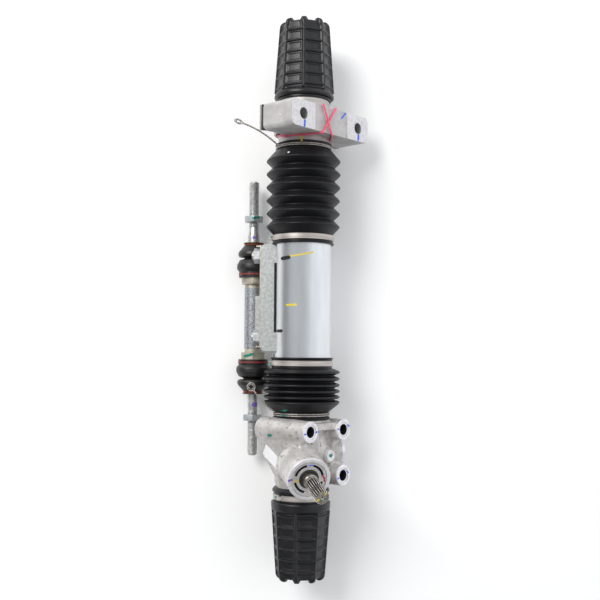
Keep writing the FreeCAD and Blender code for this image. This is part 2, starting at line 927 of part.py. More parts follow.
def block_strap():
    return saddle_layer(seat_diameter + 2 * isolator_thickness, strap_thickness, block_back - isolator_thickness)


# Ribbed end covers; distances are counted from the rim

def cover_taper(distance):
    return cover_rim_radius + (cover_end_radius - cover_rim_radius) * distance / cover_length


def cover_ring_stations():
    count = int((cover_length - cover_crest) / cover_ring_pitch)
    return [cover_length - cover_crest - cover_ring_pitch * (i + 1) + 2 for i in range(count)]


def drum(start, finish, rise):
    # a slice of the tapering drum, whose flat faces meet under the ribs and midway between them
    rings = []
    step = full_turn / (2 * cover_rib_count)
    for station in (start, finish):
        corner = cover_taper(station) + rise
        turns = [math.radians(step * i) for i in range(2 * cover_rib_count)]
        corners = [Vector(corner * math.cos(a), station, corner * math.sin(a)) for a in turns]
        rings.append(Part.makePolygon(corners + corners[:1]))
    return Part.makeLoft(rings, True, True)


def cover(neck_diameter, grip):
    end = cover_length - cover_crest
    half = cover_ring_width / 2
    slices = [drum(station - half, station + half, cover_rib_height) for station in cover_ring_stations()]
    ribs = [long_rib(i) for i in range(cover_rib_count)]
    body = join(drum(0, end, 0), *slices, *ribs)
    inside = cover_taper(end) - cover_wall
    hollow = turned([
        (0, -past), (neck_diameter / 2, -past), (neck_diameter / 2, grip), (inside, end - cover_wall),
        (0, end - cover_wall)])
    return body.cut(hollow)


def long_rib(index):
    end = cover_length - cover_crest
    top = cover_rib_height + 0.4
    outline = [
        (cover_taper(7) - 2, 7), (cover_taper(7) + top, 9), (cover_taper(end) + top, end - 4),
        (cover_taper(end) - 2, cover_length), (cover_taper(end) - 7, cover_length - 1),
        (cover_taper(end) - 9, end - 1), (cover_taper(end) - 2, end - 5)]
    points = [Vector(x, y, -cover_rib_width / 2) for x, y in outline]
    rib = Part.Face(Part.makePolygon(points + points[:1])).extrude(Vector(0, 0, cover_rib_width))
    return turn(rib, full_turn / cover_rib_count * index)


def upper_end_cover():
    shape = turn(cover(seat_diameter, tube_top - cover_rim), 2.0)
    shape.translate(Vector(0, cover_rim, 0))
    return shape


def lower_end_cover():
    shape = turn(mirrored(cover(cover_neck_diameter, lower_cover_rim - casting_end), 0), 9.6)
    shape.translate(Vector(0, lower_cover_rim, 0))
    neck = cover_neck_diameter
    collar = pipe(neck + 2 * cuff_wall, neck, lower_cover_rim, lower_cover_rim + 17)
    bead = pipe(neck + 10.4, neck, lower_cover_rim + 11.5, lower_cover_rim + 15.5)
    return join(shape, collar, bead)


# Ear clamps

def ear_clamp(inner, middle, ear_turn):
    low = middle - clamp_width / 2
    high = middle + clamp_width / 2
    band = pipe(inner + 2 * clamp_thickness, inner, low, high)
    reach = inner / 2 + clamp_thickness
    ear = box(reach - 0.4, reach + 3.4, low + 0.8, high - 0.8, -clamp_ear / 2, clamp_ear / 2)
    gap = box(reach, reach + 2.4, low, high, -clamp_ear / 2 + 1, clamp_ear / 2 - 1)
    return join(band, turn(ear.cut(gap), ear_turn))


def sleeve_cuff():
    return sleeve_diameter / 2 + soft_gap + 1.3


def upper_bellows_clamp():
    middle = sleeve_middle + sleeve_length / 2 - clamp_width / 2 - 0.6
    return ear_clamp(2 * (sleeve_cuff() + soft_gap), middle, bellows_ear_turn)


def lower_bellows_clamp():
    middle = sleeve_middle - sleeve_length / 2 + clamp_width / 2 + 0.6
    return ear_clamp(2 * (sleeve_cuff() + soft_gap), middle, bellows_ear_turn)


def lower_cover_clamp():
    return ear_clamp(cover_neck_diameter + 2 * cuff_wall, lower_cover_rim + 5.6, cover_ear_turn)


# Bellows: a small cuff on the housing, folds and a large cuff on the sleeve

def bellows(cuff_edge, cuff_radius, cuff_run, cuff_drop, first, last, count, sleeve_end, sleeve_edge):
    # cuff_run goes from the small cuff's free edge towards the folds, with its sign
    direction = 1 if cuff_run > 0 else -1
    outer = [(cuff_radius + cuff_wall + 0.9, cuff_edge), (cuff_radius + cuff_wall + 0.9, cuff_edge + 2.5 * direction)]
    outer.append((cuff_radius + cuff_wall - 0.7, cuff_edge + 3.3 * direction))
    outer.append((cuff_radius + cuff_wall - 0.7, cuff_edge + cuff_drop * direction))
    step = (last - first) / (count - 1)
    for i in range(count):
        outer.append((fold_radius, first + step * i))
        if i < count - 1:
            outer.append((valley_radius, first + step * (i + 0.5)))
    outer.append((sleeve_cuff(), sleeve_end))
    outer.append((sleeve_cuff(), sleeve_edge))
    inner = [(sleeve_cuff() - 1.3, sleeve_edge), (sleeve_cuff() - 1.3, sleeve_end - 0.5 * direction)]
    for i in reversed(range(count)):
        inner.append((fold_radius - bellows_wall, first + step * i))
        if i > 0:
            inner.append((valley_radius - bellows_wall, first + step * (i - 0.5)))
    inner.append((cuff_radius, cuff_edge + cuff_drop * direction))
    inner.append((cuff_radius, cuff_edge))
    return turned(outer + inner)


def upper_bellows():
    end = sleeve_middle + sleeve_length / 2
    return bellows(upper_cuff_top, seat_diameter / 2, -1, 7.0, upper_cuff_top - upper_fold_drop,
                   end + fold_sleeve_gap, fold_count, end + 0.5, end - 13.2)


def lower_bellows():
    end = sleeve_middle - sleeve_length / 2
    return bellows(shoulder_station + 0.2, casting_diameter / 2, 1, cuff_grip, shoulder_station + lower_fold_rise,
                   end - fold_sleeve_gap, fold_count, end - 0.5, end + 12.4)


# Twisted lock wires round the small cuffs, with their pigtails

def wire_ring(radius, station):
    # six-sided wire laid round the Y axis
    half = wire_diameter / 2
    centre = radius + half
    corners = [math.radians(60 * i) for i in range(6)]
    return turned([(centre + half * math.cos(a), station + half * math.sin(a)) for a in corners])


def eye(centre, radius, tilt):
    # a loop that lies nearly flat
    loop = wire_ring(radius - wire_diameter / 2, 0)
    loop.rotate(origin, Vector(1, 0, 0), 90 - tilt)
    loop.translate(centre)
    return loop


def wire_rings(radius, station):
    return [wire_ring(radius, station - wire_diameter * 0.4), wire_ring(radius, station + wire_diameter * 0.4)]


def pigtail(points):
    return [run(start, end, pigtail_diameter) for start, end in zip(points, points[1:])]


def upper_lock_wire():
    station = upper_cuff_top - 5.0
    rings = wire_rings(seat_diameter / 2 + cuff_wall - 0.7, station)
    points = [Vector(-30, station + 1, 19), Vector(-42, 197.5, 24), Vector(-55, 205.5, 28), Vector(-76, 214.9, 31)]
    return join(*rings, *pigtail(points), eye(Vector(-80.4, 216.4, 31.2), 4.2, 12))


def lower_lock_wire():
    station = shoulder_station + 6.4
    rings = wire_rings(casting_diameter / 2 + cuff_wall - 0.7, station)
    points = [Vector(-33.2, station + 1, 13.5), Vector(-46, -128.5, 15.5), Vector(-60.8, -110.9, 14)]
    return join(*rings, *pigtail(points), eye(Vector(-64.4, -106.6, 13.8), 5.2, 6))


# Elastic band in a figure of eight over the block and round the tube behind it

def band_corners():
    # one closed loop, crossing itself over the front of the block
    low = block_middle - block_height / 2 - band_gap
    high = block_middle + block_height / 2 + band_gap
    side = seat_diameter / 2 + band_gap + 4
    behind = 0.55 * side
    back = -side
    under = block_front - block_relief + 0.9
    over = under + band_diameter + 0.1
    shoulder = (26, 25)
    return [
        (-17.5, low, under), (7.7, high, under), (shoulder[0], high, shoulder[1]), (side, high, 0),
        (behind, high, back), (-behind, high, back), (-side, high, 0),
        (-17.5, high, over), (-1.5, low, over), (shoulder[0], low, shoulder[1]), (side, low, 0),
        (behind, low, back), (-behind, low, back), (-side, low, 0)]


def elastic_band():
    corners = [Vector(*corner) for corner in band_corners()]
    heading = (corners[1] - corners[0]).normalize()
    middle = (corners[0] + corners[1]) * 0.5
    path = Part.makePolygon([middle] + corners[1:] + [corners[0], middle - heading * band_joint])
    section = Part.makePolygon(hexagon_round(middle, heading, band_diameter / 2))
    return on_car(path.makePipeShell([section], True, False, 1))


def hexagon_round(middle, heading, radius):
    side = heading.cross(Vector(0, 0, 1)).normalize()
    rise = heading.cross(side)
    turns = [math.radians(60 * i) for i in range(7)]
    return [middle + side * radius * math.cos(a) + rise * radius * math.sin(a) for a in turns]


def run(start, end, diameter):
    heading = end - start
    return Part.makeCylinder(diameter / 2, heading.Length, start, heading)


# Every node by name

def build():
    nodes["pinion_housing"] = pinion_housing()
    nodes["housing_tube"] = housing_tube()
    nodes["rack_bush_upper"] = rack_bush_upper()
    nodes["rack_bush_lower"] = rack_bush_lower()
    nodes["boss_bushes"] = boss_bushes()
    nodes["housing_plug"] = housing_plug()
    nodes["support_yoke"] = support_yoke()
    nodes["yoke_spring"] = yoke_spring()
    nodes["yoke_plug"] = yoke_plug()
    nodes["yoke_lock_ring"] = yoke_lock_ring()
    nodes["pinion_shaft"] = pinion_shaft()
    nodes["bearing_outer_race"] = bearing_outer_race()
    nodes["bearing_inner_race"] = bearing_inner_race()
    nodes["bearing_rollers"] = bearing_rollers()
    nodes["pinion_lower_bush"] = pinion_lower_bush()
    nodes["pinion_retainer"] = pinion_retainer()
    nodes["pinion_seal"] = pinion_seal()
    nodes["rack_bar"] = rack_bar()
    nodes["guide_shoe"] = guide_shoe()
    nodes["carriage_sleeve"] = carriage_sleeve()
    nodes["takeoff_channel"] = takeoff_channel()
    nodes["takeoff_spacers"] = takeoff_spacers()
    nodes["lock_plate"] = lock_plate()
    nodes["takeoff_nuts"] = takeoff_nuts()
    nodes["takeoff_studs"] = takeoff_studs()
    nodes["link_tube"] = link_tube()
    bodies = {"upper": upper_body_diameter, "lower": lower_body_diameter}
    for end, body_diameter in bodies.items():
        nodes[end + "_joint_housing"] = both_ends(joint_housing())[end]
        nodes[end + "_ball_seat"] = both_ends(ball_seat())[end]
        nodes[end + "_tie_rod"] = both_ends(tie_rod(body_diameter))[end]
        nodes[end + "_boot"] = both_ends(boot())[end]
        nodes[end + "_boot_ring"] = both_ends(boot_ring())[end]
        nodes[end + "_boot_collar"] = both_ends(boot_collar(body_diameter))[end]
        nodes[end + "_rod_disc"] = both_ends(rod_disc(body_diameter))[end]
        nodes[end + "_jam_nut"] = both_ends(jam_nut())[end]
    nodes["mounting_block"] = mounting_block()
    nodes["block_isolator"] = block_isolator()
    nodes["block_strap"] = block_strap()
    nodes["elastic_band"] = elastic_band()
    nodes["upper_end_cover"] = upper_end_cover()
    nodes["lower_end_cover"] = lower_end_cover()
    nodes["lower_cover_clamp"] = lower_cover_clamp()
    nodes["upper_bellows"] = upper_bellows()
    nodes["lower_bellows"] = lower_bellows()
    nodes["upper_bellows_clamp"] = upper_bellows_clamp()
    nodes["lower_bellows_clamp"] = lower_bellows_clamp()
    nodes["upper_lock_wire"] = upper_lock_wire()
    nodes["lower_lock_wire"] = lower_lock_wire()


def home():
    # the origin is the middle of the underside of the whole part
    whole = Part.makeCompound(list(nodes.values())).optimalBoundingBox()
    return Vector(-(whole.XMin + whole.XMax) / 2, -(whole.YMin + whole.YMax) / 2, -whole.ZMin)


os.makedirs("parts", exist_ok=True)
build()
shift = home()
for name, shape in nodes.items():
    shape.translate(shift)
    shape.exportStep("parts/" + name + ".step")
print("shift", shift)
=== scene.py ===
import bmesh
import bpy
import json
import math
import random
from mathutils import Matrix, Vector

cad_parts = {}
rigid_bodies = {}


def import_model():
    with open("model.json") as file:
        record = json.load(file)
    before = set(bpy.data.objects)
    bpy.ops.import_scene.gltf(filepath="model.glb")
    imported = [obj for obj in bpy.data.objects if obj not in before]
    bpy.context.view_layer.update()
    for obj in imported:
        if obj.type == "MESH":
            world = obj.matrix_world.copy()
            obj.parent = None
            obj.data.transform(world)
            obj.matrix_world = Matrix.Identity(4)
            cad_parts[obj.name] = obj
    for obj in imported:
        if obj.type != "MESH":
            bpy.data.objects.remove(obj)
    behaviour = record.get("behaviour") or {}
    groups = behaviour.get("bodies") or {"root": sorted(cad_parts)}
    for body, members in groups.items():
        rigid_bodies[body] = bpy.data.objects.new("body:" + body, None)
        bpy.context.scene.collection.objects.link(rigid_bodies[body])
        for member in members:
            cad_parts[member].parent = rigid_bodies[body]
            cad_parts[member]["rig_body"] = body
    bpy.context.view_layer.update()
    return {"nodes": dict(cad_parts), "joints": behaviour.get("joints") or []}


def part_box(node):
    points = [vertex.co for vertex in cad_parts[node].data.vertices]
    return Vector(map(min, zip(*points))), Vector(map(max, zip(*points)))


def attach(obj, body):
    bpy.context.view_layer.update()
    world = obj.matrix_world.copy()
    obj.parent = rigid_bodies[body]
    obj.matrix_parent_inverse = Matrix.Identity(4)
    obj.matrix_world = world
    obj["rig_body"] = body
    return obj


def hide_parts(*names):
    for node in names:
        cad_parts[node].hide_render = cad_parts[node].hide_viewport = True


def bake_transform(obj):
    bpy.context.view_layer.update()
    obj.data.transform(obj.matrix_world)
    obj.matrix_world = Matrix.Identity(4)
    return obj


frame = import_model()
nodes = frame["nodes"]
scene = bpy.context.scene
mm = 0.001

# Centre take-off steering rack, lying on a pale floor and seen from straight above.

photo = {"side": 600, "pixel": 1.25 * mm, "foot": (300, 350), "distance": 1190 * mm, "aside": -2.45 * mm,
         "along": 0.3 * mm, "roll": 0.5, "sensor": 36, "farthest": 20}
floor = {"colour": (0.93, 0.93, 0.93), "size": 6.0, "drop": 0.2 * mm}
ends = (("upper", 1), ("lower", -1))  # the two ends of the rack and their direction along Y


# Where things are, read from the frame

def middleOf(node):
    low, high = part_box(node)
    return (low + high) / 2


def jointNamed(name):
    return next(joint for joint in frame["joints"] if joint["name"] == name)


tubeMiddle = middleOf("housing_tube")
rackAxis = Vector((tubeMiddle.x, 0, tubeMiddle.z))
linkMiddle = middleOf("link_tube")
pinionPoint = Vector(jointNamed("pinion_turn")["pos_m"])
pinionAxis = Vector(jointNamed("pinion_turn")["axis"]).normalized()
onPinion = Matrix.Translation(pinionPoint) @ pinionAxis.to_track_quat("Z", "Y").to_matrix().to_4x4()


def onRack(station=0.0, direction=1):
    # local Z runs along the rack from a station, up or down it
    turn = Matrix.Rotation(math.radians(-90 * direction), 4, "X")
    return Matrix.Translation((rackAxis.x, station, rackAxis.z)) @ turn


def onLink(direction):
    # local Z runs from the middle of the link tube out to one of its joints
    turn = Matrix.Rotation(math.radians(-90 * direction), 4, "X")
    return Matrix.Translation(linkMiddle) @ turn


# Camera, from the scale of the photograph and the point that it looks straight down on

camera = bpy.data.objects.new("camera", bpy.data.cameras.new("camera"))
scene.collection.objects.link(camera)
scene.camera = camera
camera.data.sensor_width = photo["sensor"]
camera.data.lens = photo["distance"] / photo["pixel"] / photo["side"] * photo["sensor"]
camera.data.shift_y = (photo["foot"][1] - photo["side"] / 2) / photo["side"]
camera.data.clip_end = photo["farthest"]
camera.location = (rackAxis.x + photo["aside"],
                   (photo["side"] / 2 - photo["foot"][1]) * photo["pixel"] + photo["along"],
                   rackAxis.z + photo["distance"])
camera.rotation_euler = (0, 0, math.radians(photo["roll"]))
bpy.context.view_layer.update()
print("camera")


# Small helpers for meshes

cadEdge = {"weld": 0.002, "nodeWeld": 0.004, "flat": 0.6, "sharp": 32}


def newPiece(name, mesh, material, angle=40):
    for face in mesh.polygons:
        face.use_smooth = True
    mesh.set_sharp_from_angle(angle=math.radians(angle))
    piece = bpy.data.objects.new(name, mesh)
    scene.collection.objects.link(piece)
    mesh.materials.append(material)
    return piece


def toMesh(name, made):
    mesh = bpy.data.meshes.new(name)
    made.to_mesh(mesh)
    made.free()
    return mesh


def finishMesh(name, made):
    bmesh.ops.remove_doubles(made, verts=made.verts, dist=cadEdge["weld"] * mm)
    bmesh.ops.recalc_face_normals(made, faces=made.faces)
    return toMesh(name, made)


def outward(turn):
    return Vector((math.cos(turn), math.sin(turn), 0))


def joinRings(made, rings):
    # faces from each ring of corners to the next
    for low, high in zip(rings, rings[1:]):
        for here in range(len(low)):
            after = (here + 1) % len(low)
            made.faces.new((low[here], low[after], high[after], high[here]))


def turnedPiece(name, outline, place, material, columns=96, relief=None, closed=False, angle=40):
    # outline is radius and height in millimetres, relief adds to the radius
    made = bmesh.new()
    rings = []
    for radius, height in outline:
        ring = []
        for column in range(columns):
            turn = 2 * math.pi * column / columns
            rise = relief(turn, height) if relief else 0
            ring.append(made.verts.new(place @ (outward(turn) * (radius + rise) * mm + Vector((0, 0, height * mm)))))
        rings.append(ring)
    joinRings(made, rings + rings[:1] if closed else rings)
    if not closed:
        for ring in (rings[0], rings[-1]):
            if (ring[0].co - ring[columns // 2].co).length > 0.01 * mm:
                made.faces.new(ring)
    return newPiece(name, finishMesh(name, made), material, angle)


def rounded(points, radius, steps=4):
    # an outline with its inner corners turned into arcs
    smooth = [points[0]]
    for before, corner, after in zip(points, points[1:], points[2:]):
        middle = Vector(corner)
        back, onward = Vector(before) - middle, Vector(after) - middle
        longest = 0.48 * min(back.length, onward.length)
        reach = min(radius / math.tan(back.angle(onward, math.pi) / 2 + 1e-6), longest)
        first = middle + back.normalized() * reach
        last = middle + onward.normalized() * reach
        for step in range(steps + 1):
            share = step / steps
            smooth.append(tuple(first.lerp(middle, share).lerp(middle.lerp(last, share), share)))
    smooth.append(points[-1])
    return smooth


def roundEach(points, steps=5):
    # as rounded, with a radius of its own for each corner
    plain = [(x, y) for x, y, _ in points]
    smooth = [plain[0]]
    for (before, corner, after), (_, _, radius) in zip(zip(plain, plain[1:], plain[2:]), points[1:-1]):
        smooth += rounded([before, corner, after], radius, steps)[1:-1]
    smooth.append(plain[-1])
    return smooth


def walled(outline, wall):
    # the section of a moulded skin: its outside and back along its inside
    return roundEach(outline) + [(radius - wall, height) for radius, height in reversed(roundEach(outline, 2))]


def smoothStep(value, low, high):
    share = min(max((value - low) / (high - low), 0), 1)
    return share * share * (3 - 2 * share)


def cleanCopy(node):
    # the CAD mesh with its split corners joined and its flat faces whole again
    source = nodes[node].data
    made = bmesh.new()
    corners = [made.verts.new(vertex.co) for vertex in source.vertices]
    for face in source.polygons:
        try:
            made.faces.new([corners[index] for index in face.vertices])
        except ValueError:
            pass
    bmesh.ops.remove_doubles(made, verts=made.verts, dist=cadEdge["nodeWeld"] * mm)
    bmesh.ops.dissolve_limit(made, angle_limit=math.radians(cadEdge["flat"]), verts=made.verts, edges=made.edges)
    return made


def breakEdges(piece, width, segments=2, angle=cadEdge["sharp"]):
    edge = piece.modifiers.new("edge", "BEVEL")
    edge.width = width * mm
    edge.segments = segments
    edge.limit_method = "ANGLE"
    edge.angle_limit = math.radians(angle)
    return edge


def dressed(node, material, width=0.4, segments=2):
    # stands for a CAD node, with its edges broken as on the real piece
    piece = newPiece(node + "_dressed", finishMesh(node + "_dressed", cleanCopy(node)), material, 30)
    breakEdges(piece, width, segments).miter_outer = "MITER_ARC"
    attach(piece, nodes[node]["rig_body"])
    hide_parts(node)
    return piece


def bare(node, material):
    # a CAD node that keeps its own shape
    nodes[node].data.materials.clear()
    nodes[node].data.materials.append(material)


# Materials

def newNode(tree, kind, inputs=None, **settings):
    # an input is a value, or another node's output to link
    made = tree.nodes.new(kind)
    for name, value in settings.items():
        setattr(made, name, value)
    for name, value in (inputs or {}).items():
        if isinstance(value, bpy.types.NodeSocket):
            tree.links.new(value, made.inputs[name])
        else:
            made.inputs[name].default_value = value
    return made


def colourRamp(tree, source, steps):
    # steps are positions with their colours
    made = newNode(tree, "ShaderNodeValToRGB", {"Fac": source})
    elements = made.color_ramp.elements
    for index, (position, colour) in ((0, steps[0]), (1, steps[-1])):
        elements[index].position = position
        elements[index].color = (*colour, 1)
    for position, colour in steps[1:-1]:
        elements.new(position).color = (*colour, 1)
    return made.outputs["Color"]


def surface(name, dark, light, roughness=(0.3, 0.5), metallic=0.0, mottle=60, grain=900, bump=0.03, stretch=(1, 1, 1),
            spots=None, specular=0.5, contrast=(0.35, 0.65)):
    material = bpy.data.materials.new(name)
    material.use_nodes = True
    tree = material.node_tree
    shader = tree.nodes["Principled BSDF"]
    place = newNode(tree, "ShaderNodeTexCoord").outputs["Object"]
    mapped = newNode(tree, "ShaderNodeMapping", {"Scale": stretch, "Vector": place}).outputs["Vector"]

    def clouds(scale, detail, rough=0.55):
        return newNode(tree, "ShaderNodeTexNoise", {"Scale": scale, "Detail": detail, "Roughness": rough,
                                                    "Vector": mapped}).outputs["Fac"]

    def spread(source, low, high, fromLow=0.3, fromHigh=0.7):
        return newNode(tree, "ShaderNodeMapRange", {"From Min": fromLow, "From Max": fromHigh, "To Min": low,
                                                    "To Max": high, "Value": source}).outputs["Result"]

    patches = clouds(mottle, 6)
    fine = clouds(grain, 8, 0.65)
    colour = colourRamp(tree, patches, [(contrast[0], dark), (contrast[1], light)])
    if spots:
        flecks = spread(clouds(spots["scale"], 5, 0.6), 0, spots["strength"], spots["from"], spots["from"] + 0.08)
        colour = newNode(tree, "ShaderNodeMix", {"B": (*spots["colour"], 1), "Factor": flecks, "A": colour},
                         data_type="RGBA").outputs["Result"]
    relief = newNode(tree, "ShaderNodeBump", {"Strength": 1.0, "Distance": bump * mm, "Height": fine})
    tree.links.new(colour, shader.inputs["Base Color"])
    tree.links.new(spread(fine, *roughness), shader.inputs["Roughness"])
    tree.links.new(relief.outputs["Normal"], shader.inputs["Normal"])
    shader.inputs["Metallic"].default_value = metallic
    shader.inputs["Specular IOR Level"].default_value = specular
    return material


looks = {
    "casting": surface("cast_alloy", (0.46, 0.435, 0.42), (0.70, 0.675, 0.66), (0.38, 0.56), 0.40, 55, 1300, 0.24,
                       spots={"scale": 240, "colour": (0.20, 0.15, 0.11), "strength": 0.8, "from": 0.585}),
    "machined": surface("machined_alloy", (0.72, 0.70, 0.74), (0.90, 0.89, 0.93), (0.25, 0.42), 0.35, 160, 2200,
                        0.02),
    "blockAlloy": surface("block_alloy", (0.46, 0.44, 0.44), (0.60, 0.58, 0.58), (0.45, 0.62), 0.25, 60, 1500, 0.12),
    "facedAlloy": surface("faced_alloy", (0.66, 0.64, 0.66), (0.80, 0.78, 0.80), (0.35, 0.55), 0.25, 260, 2000, 0.05,
                          spots={"scale": 420, "colour": (0.5, 0.47, 0.47), "strength": 0.7, "from": 0.6}),
    "neck": surface("turned_tube", (0.42, 0.39, 0.37), (0.62, 0.59, 0.57), (0.42, 0.55), 0.6, 160, 1400, 0.02,
                    stretch=(0.05, 4, 0.05)),
    "sleeve": surface("bright_zinc", (0.66, 0.69, 0.72), (0.84, 0.86, 0.88), (0.32, 0.40), 0.92, 40, 260, 0.004,
                      stretch=(1, 0.12, 1)),
    "channel": surface("mottled_zinc", (0.36, 0.375, 0.37), (0.52, 0.54, 0.53), (0.38, 0.52), 0.45, 300, 1600, 0.03),
    "linkTube": surface("spangled_zinc", (0.20, 0.21, 0.23), (0.52, 0.54, 0.57), (0.28, 0.45), 0.6, 520, 1500, 0.03),
    "yellowZinc": surface("yellow_zinc", (0.40, 0.37, 0.27), (0.66, 0.62, 0.50), (0.28, 0.45), 0.6, 180, 1200, 0.04),
    "steel": surface("rod_steel", (0.40, 0.41, 0.40), (0.66, 0.67, 0.66), (0.28, 0.42), 0.7, 300, 1500, 0.06),
    "nutZinc": surface("nut_zinc", (0.42, 0.45, 0.48), (0.62, 0.65, 0.68), (0.3, 0.45), 0.5, 160, 1500, 0.04),
    "creamZinc": surface("cream_zinc", (0.40, 0.365, 0.29), (0.64, 0.60, 0.50), (0.32, 0.48), 0.45, 160, 1500, 0.04),
    "bore": surface("bore_shadow", (0.010, 0.010, 0.011), (0.02, 0.02, 0.021), (0.5, 0.7), 0, 200, 1500, 0.03),
    "boltBoreShade": surface("bolt_bore_shade", (0.36, 0.36, 0.36), (0.55, 0.55, 0.55), (0.35, 0.5), 0.5, 200, 1500, 0.05),
    "turnedFace": surface("turned_face", (0.50, 0.475, 0.475), (0.72, 0.70, 0.70), (0.3, 0.45), 0.4, 160, 2200, 0.03),
    "disc": surface("disc_steel", (0.05, 0.045, 0.04), (0.14, 0.12, 0.10), (0.3, 0.45), 0.5, 160, 1500, 0.04),
    # tooth steel is lighter than the stem steel: painted highlight on the serration crests
    "tooth": surface("tooth_steel_painted_highlight", (0.52, 0.48, 0.43), (0.78, 0.73, 0.66), (0.22, 0.36), 0.8, 240, 1500, 0.04),
    "shaft": surface("shaft_steel", (0.20, 0.18, 0.16), (0.46, 0.42, 0.38), (0.22, 0.42), 0.8, 240, 1500, 0.04),
    "clampSteel": surface("strip_steel", (0.40, 0.36, 0.34), (0.60, 0.55, 0.52), (0.34, 0.46), 0.6, 60, 900, 0.02,
                          stretch=(0.3, 6, 0.3)),
    "wire": surface("lock_wire", (0.30, 0.27, 0.25), (0.56, 0.52, 0.49), (0.3, 0.45), 0.7, 400, 2000, 0.02),
    "rubber": surface("bellows_rubber", (0.004, 0.004, 0.005), (0.008, 0.008, 0.010), (0.34, 0.46), 0, 45, 1400, 0.05,
                      specular=0.28),
    "cover": surface("cover_plastic", (0.006, 0.006, 0.008), (0.012, 0.0115, 0.014), (0.30, 0.40), 0, 70, 1800, 0.04,
                     specular=0.42),
    "boot": surface("boot_rubber", (0.010, 0.009, 0.009), (0.020, 0.018, 0.018), (0.32, 0.45), 0, 90, 1500, 0.04),
    "isolator": surface("isolator_rubber", (0.015, 0.017, 0.017), (0.03, 0.032, 0.032), (0.45, 0.6), 0, 90, 1500,
                        0.06),
    "band": surface("elastic_rubber", (0.95, 0.07, 0.16), (1.0, 0.16, 0.27), (0.35, 0.5), 0, 300, 1500, 0.03),
    "redRing": surface("red_ring", (0.24, 0.02, 0.02), (0.42, 0.04, 0.035), (0.3, 0.45), 0, 300, 1500, 0.03),
    "orangeRing": surface("orange_ring", (0.26, 0.05, 0.02), (0.42, 0.10, 0.04), (0.35, 0.5), 0, 300, 1500, 0.03),
    "plasticPale": surface("bearing_plastic", (0.68, 0.65, 0.56), (0.80, 0.77, 0.69), (0.4, 0.5), 0, 80, 1200, 0.02),
    "paper": surface("label_film", (0.82, 0.82, 0.84), (0.88, 0.88, 0.90), (0.32, 0.42), 0, 60, 900, 0.01),
}
print("materials")


# Ribbed end covers: eight long ribs, ring ribs and stepped cells, all as one moulded skin

cover = {"rimRadius": 35.0, "endRadius": 28.2, "ribs": 8, "ribHalf": 0.75, "ribRise": 3.0, "ribSlope": 1.9,
         "ribFade": 1.6, "ringPitch": 13.6, "rings": 6, "ringHalf": 0.5, "ringRise": 2.5, "ringSlope": 1.7,
         "flank": -0.3, "stepRise": 0.75, "stepWide": 3.0, "ringStepWide": 2.4, "stepSlope": 0.5, "flatness": 0.7,
         "rimRise": 2.3, "widen": 1.3, "crestHalf": 3.0, "crestSlope": 3.0, "crestRise": 4.0,
         "crestInner": (5.5, 11.0), "columns": 288, "firstRow": 2.4, "row": 0.5, "corner": 3.5, "cornerRows": 8}
coverSizes = {
    "upper": {"length": 93.0, "firstRing": 12.6, "ribStart": 7.0, "rimFade": (4.0, 9.5), "firstRib": 88.0},
    "lower": {"length": 95.4, "firstRing": 17.0, "ribStart": 10.5, "rimFade": (10.5, 14.0), "firstRib": 99.6},
}


def fromRib(turn, size):
    # the angle to the middle of the nearest rib
    sector = 2 * math.pi / cover["ribs"]
    offset = (turn - math.radians(size["firstRib"])) % sector
    return min(offset, sector - offset)


def coverRise(turn, station, radius, size):
    # how far the moulding stands out of the plain drum at a place
    widen = cover["widen"] * smoothStep(station, size["length"] - 8, size["length"] - 2)
    ribAway = fromRib(turn, size) * radius - cover["ribHalf"] - widen
    ringAt = (station - size["firstRing"]) / cover["ringPitch"]
    nearest = min(max(round(ringAt), 0), cover["rings"] - 1)
    ringAway = abs(ringAt - nearest) * cover["ringPitch"] - cover["ringHalf"]
    start, slope = size["ribStart"], cover["stepSlope"]
    ribFade = smoothStep(station, start, start + cover["ribFade"])
    ribTop = cover["ribRise"] * (1 - smoothStep(ribAway, cover["flank"], cover["ribSlope"])) * ribFade
    ringTop = cover["ringRise"] * (1 - smoothStep(ringAway, cover["flank"], cover["ringSlope"]))
    ribStep = (1 - smoothStep(ribAway, cover["stepWide"], cover["stepWide"] + slope)) * ribFade
    ringStep = 1 - smoothStep(ringAway, cover["ringStepWide"], cover["ringStepWide"] + slope)
    half = math.pi / cover["ribs"]
    flat = cover["flatness"] * radius * (1 - math.cos(half) / math.cos(half - fromRib(turn, size)))
    rim = cover["rimRise"] * (1 - smoothStep(station, *size["rimFade"]))
    step = cover["stepRise"] * max(ribStep, ringStep)
    return max(ribTop, ringTop, step, rim) - flat * smoothStep(station, start - 2, start + 4)


def coverPath(size, neckRadius):
    # radius, height and part: 0 is the rim, 1 the side, up to 2 the rounded end, 3 its middle
    rim, corner = cover["rimRadius"], cover["corner"]
    path = [(neckRadius + 0.2, 9.0, 0), (neckRadius + 0.4, 1.6, 0), (neckRadius + 1.0, 0.2, 0), (rim - 1.0, 0.0, 0),
            (rim + 0.7, 0.3, 0), (rim + 1.8, 1.1, 0)]
    slope = (cover["endRadius"] - rim) / size["length"]
    height = cover["firstRow"]
    while height < size["length"] - corner:
        path.append((rim + slope * height, height, 1))
        height += cover["row"]
    sideRadius, turnAt, _ = path[-1]
    for row in range(1, cover["cornerRows"] + 1):
        share = row / cover["cornerRows"]
        angle = math.pi / 2 * share
        path.append((sideRadius - corner * (1 - math.cos(angle)), turnAt + corner * math.sin(angle), 1 + share))
    path += [(sideRadius - corner - row, turnAt + corner, 2) for row in range(1, 9)]
    return path + [(0.0001, turnAt + corner, 3)], sideRadius


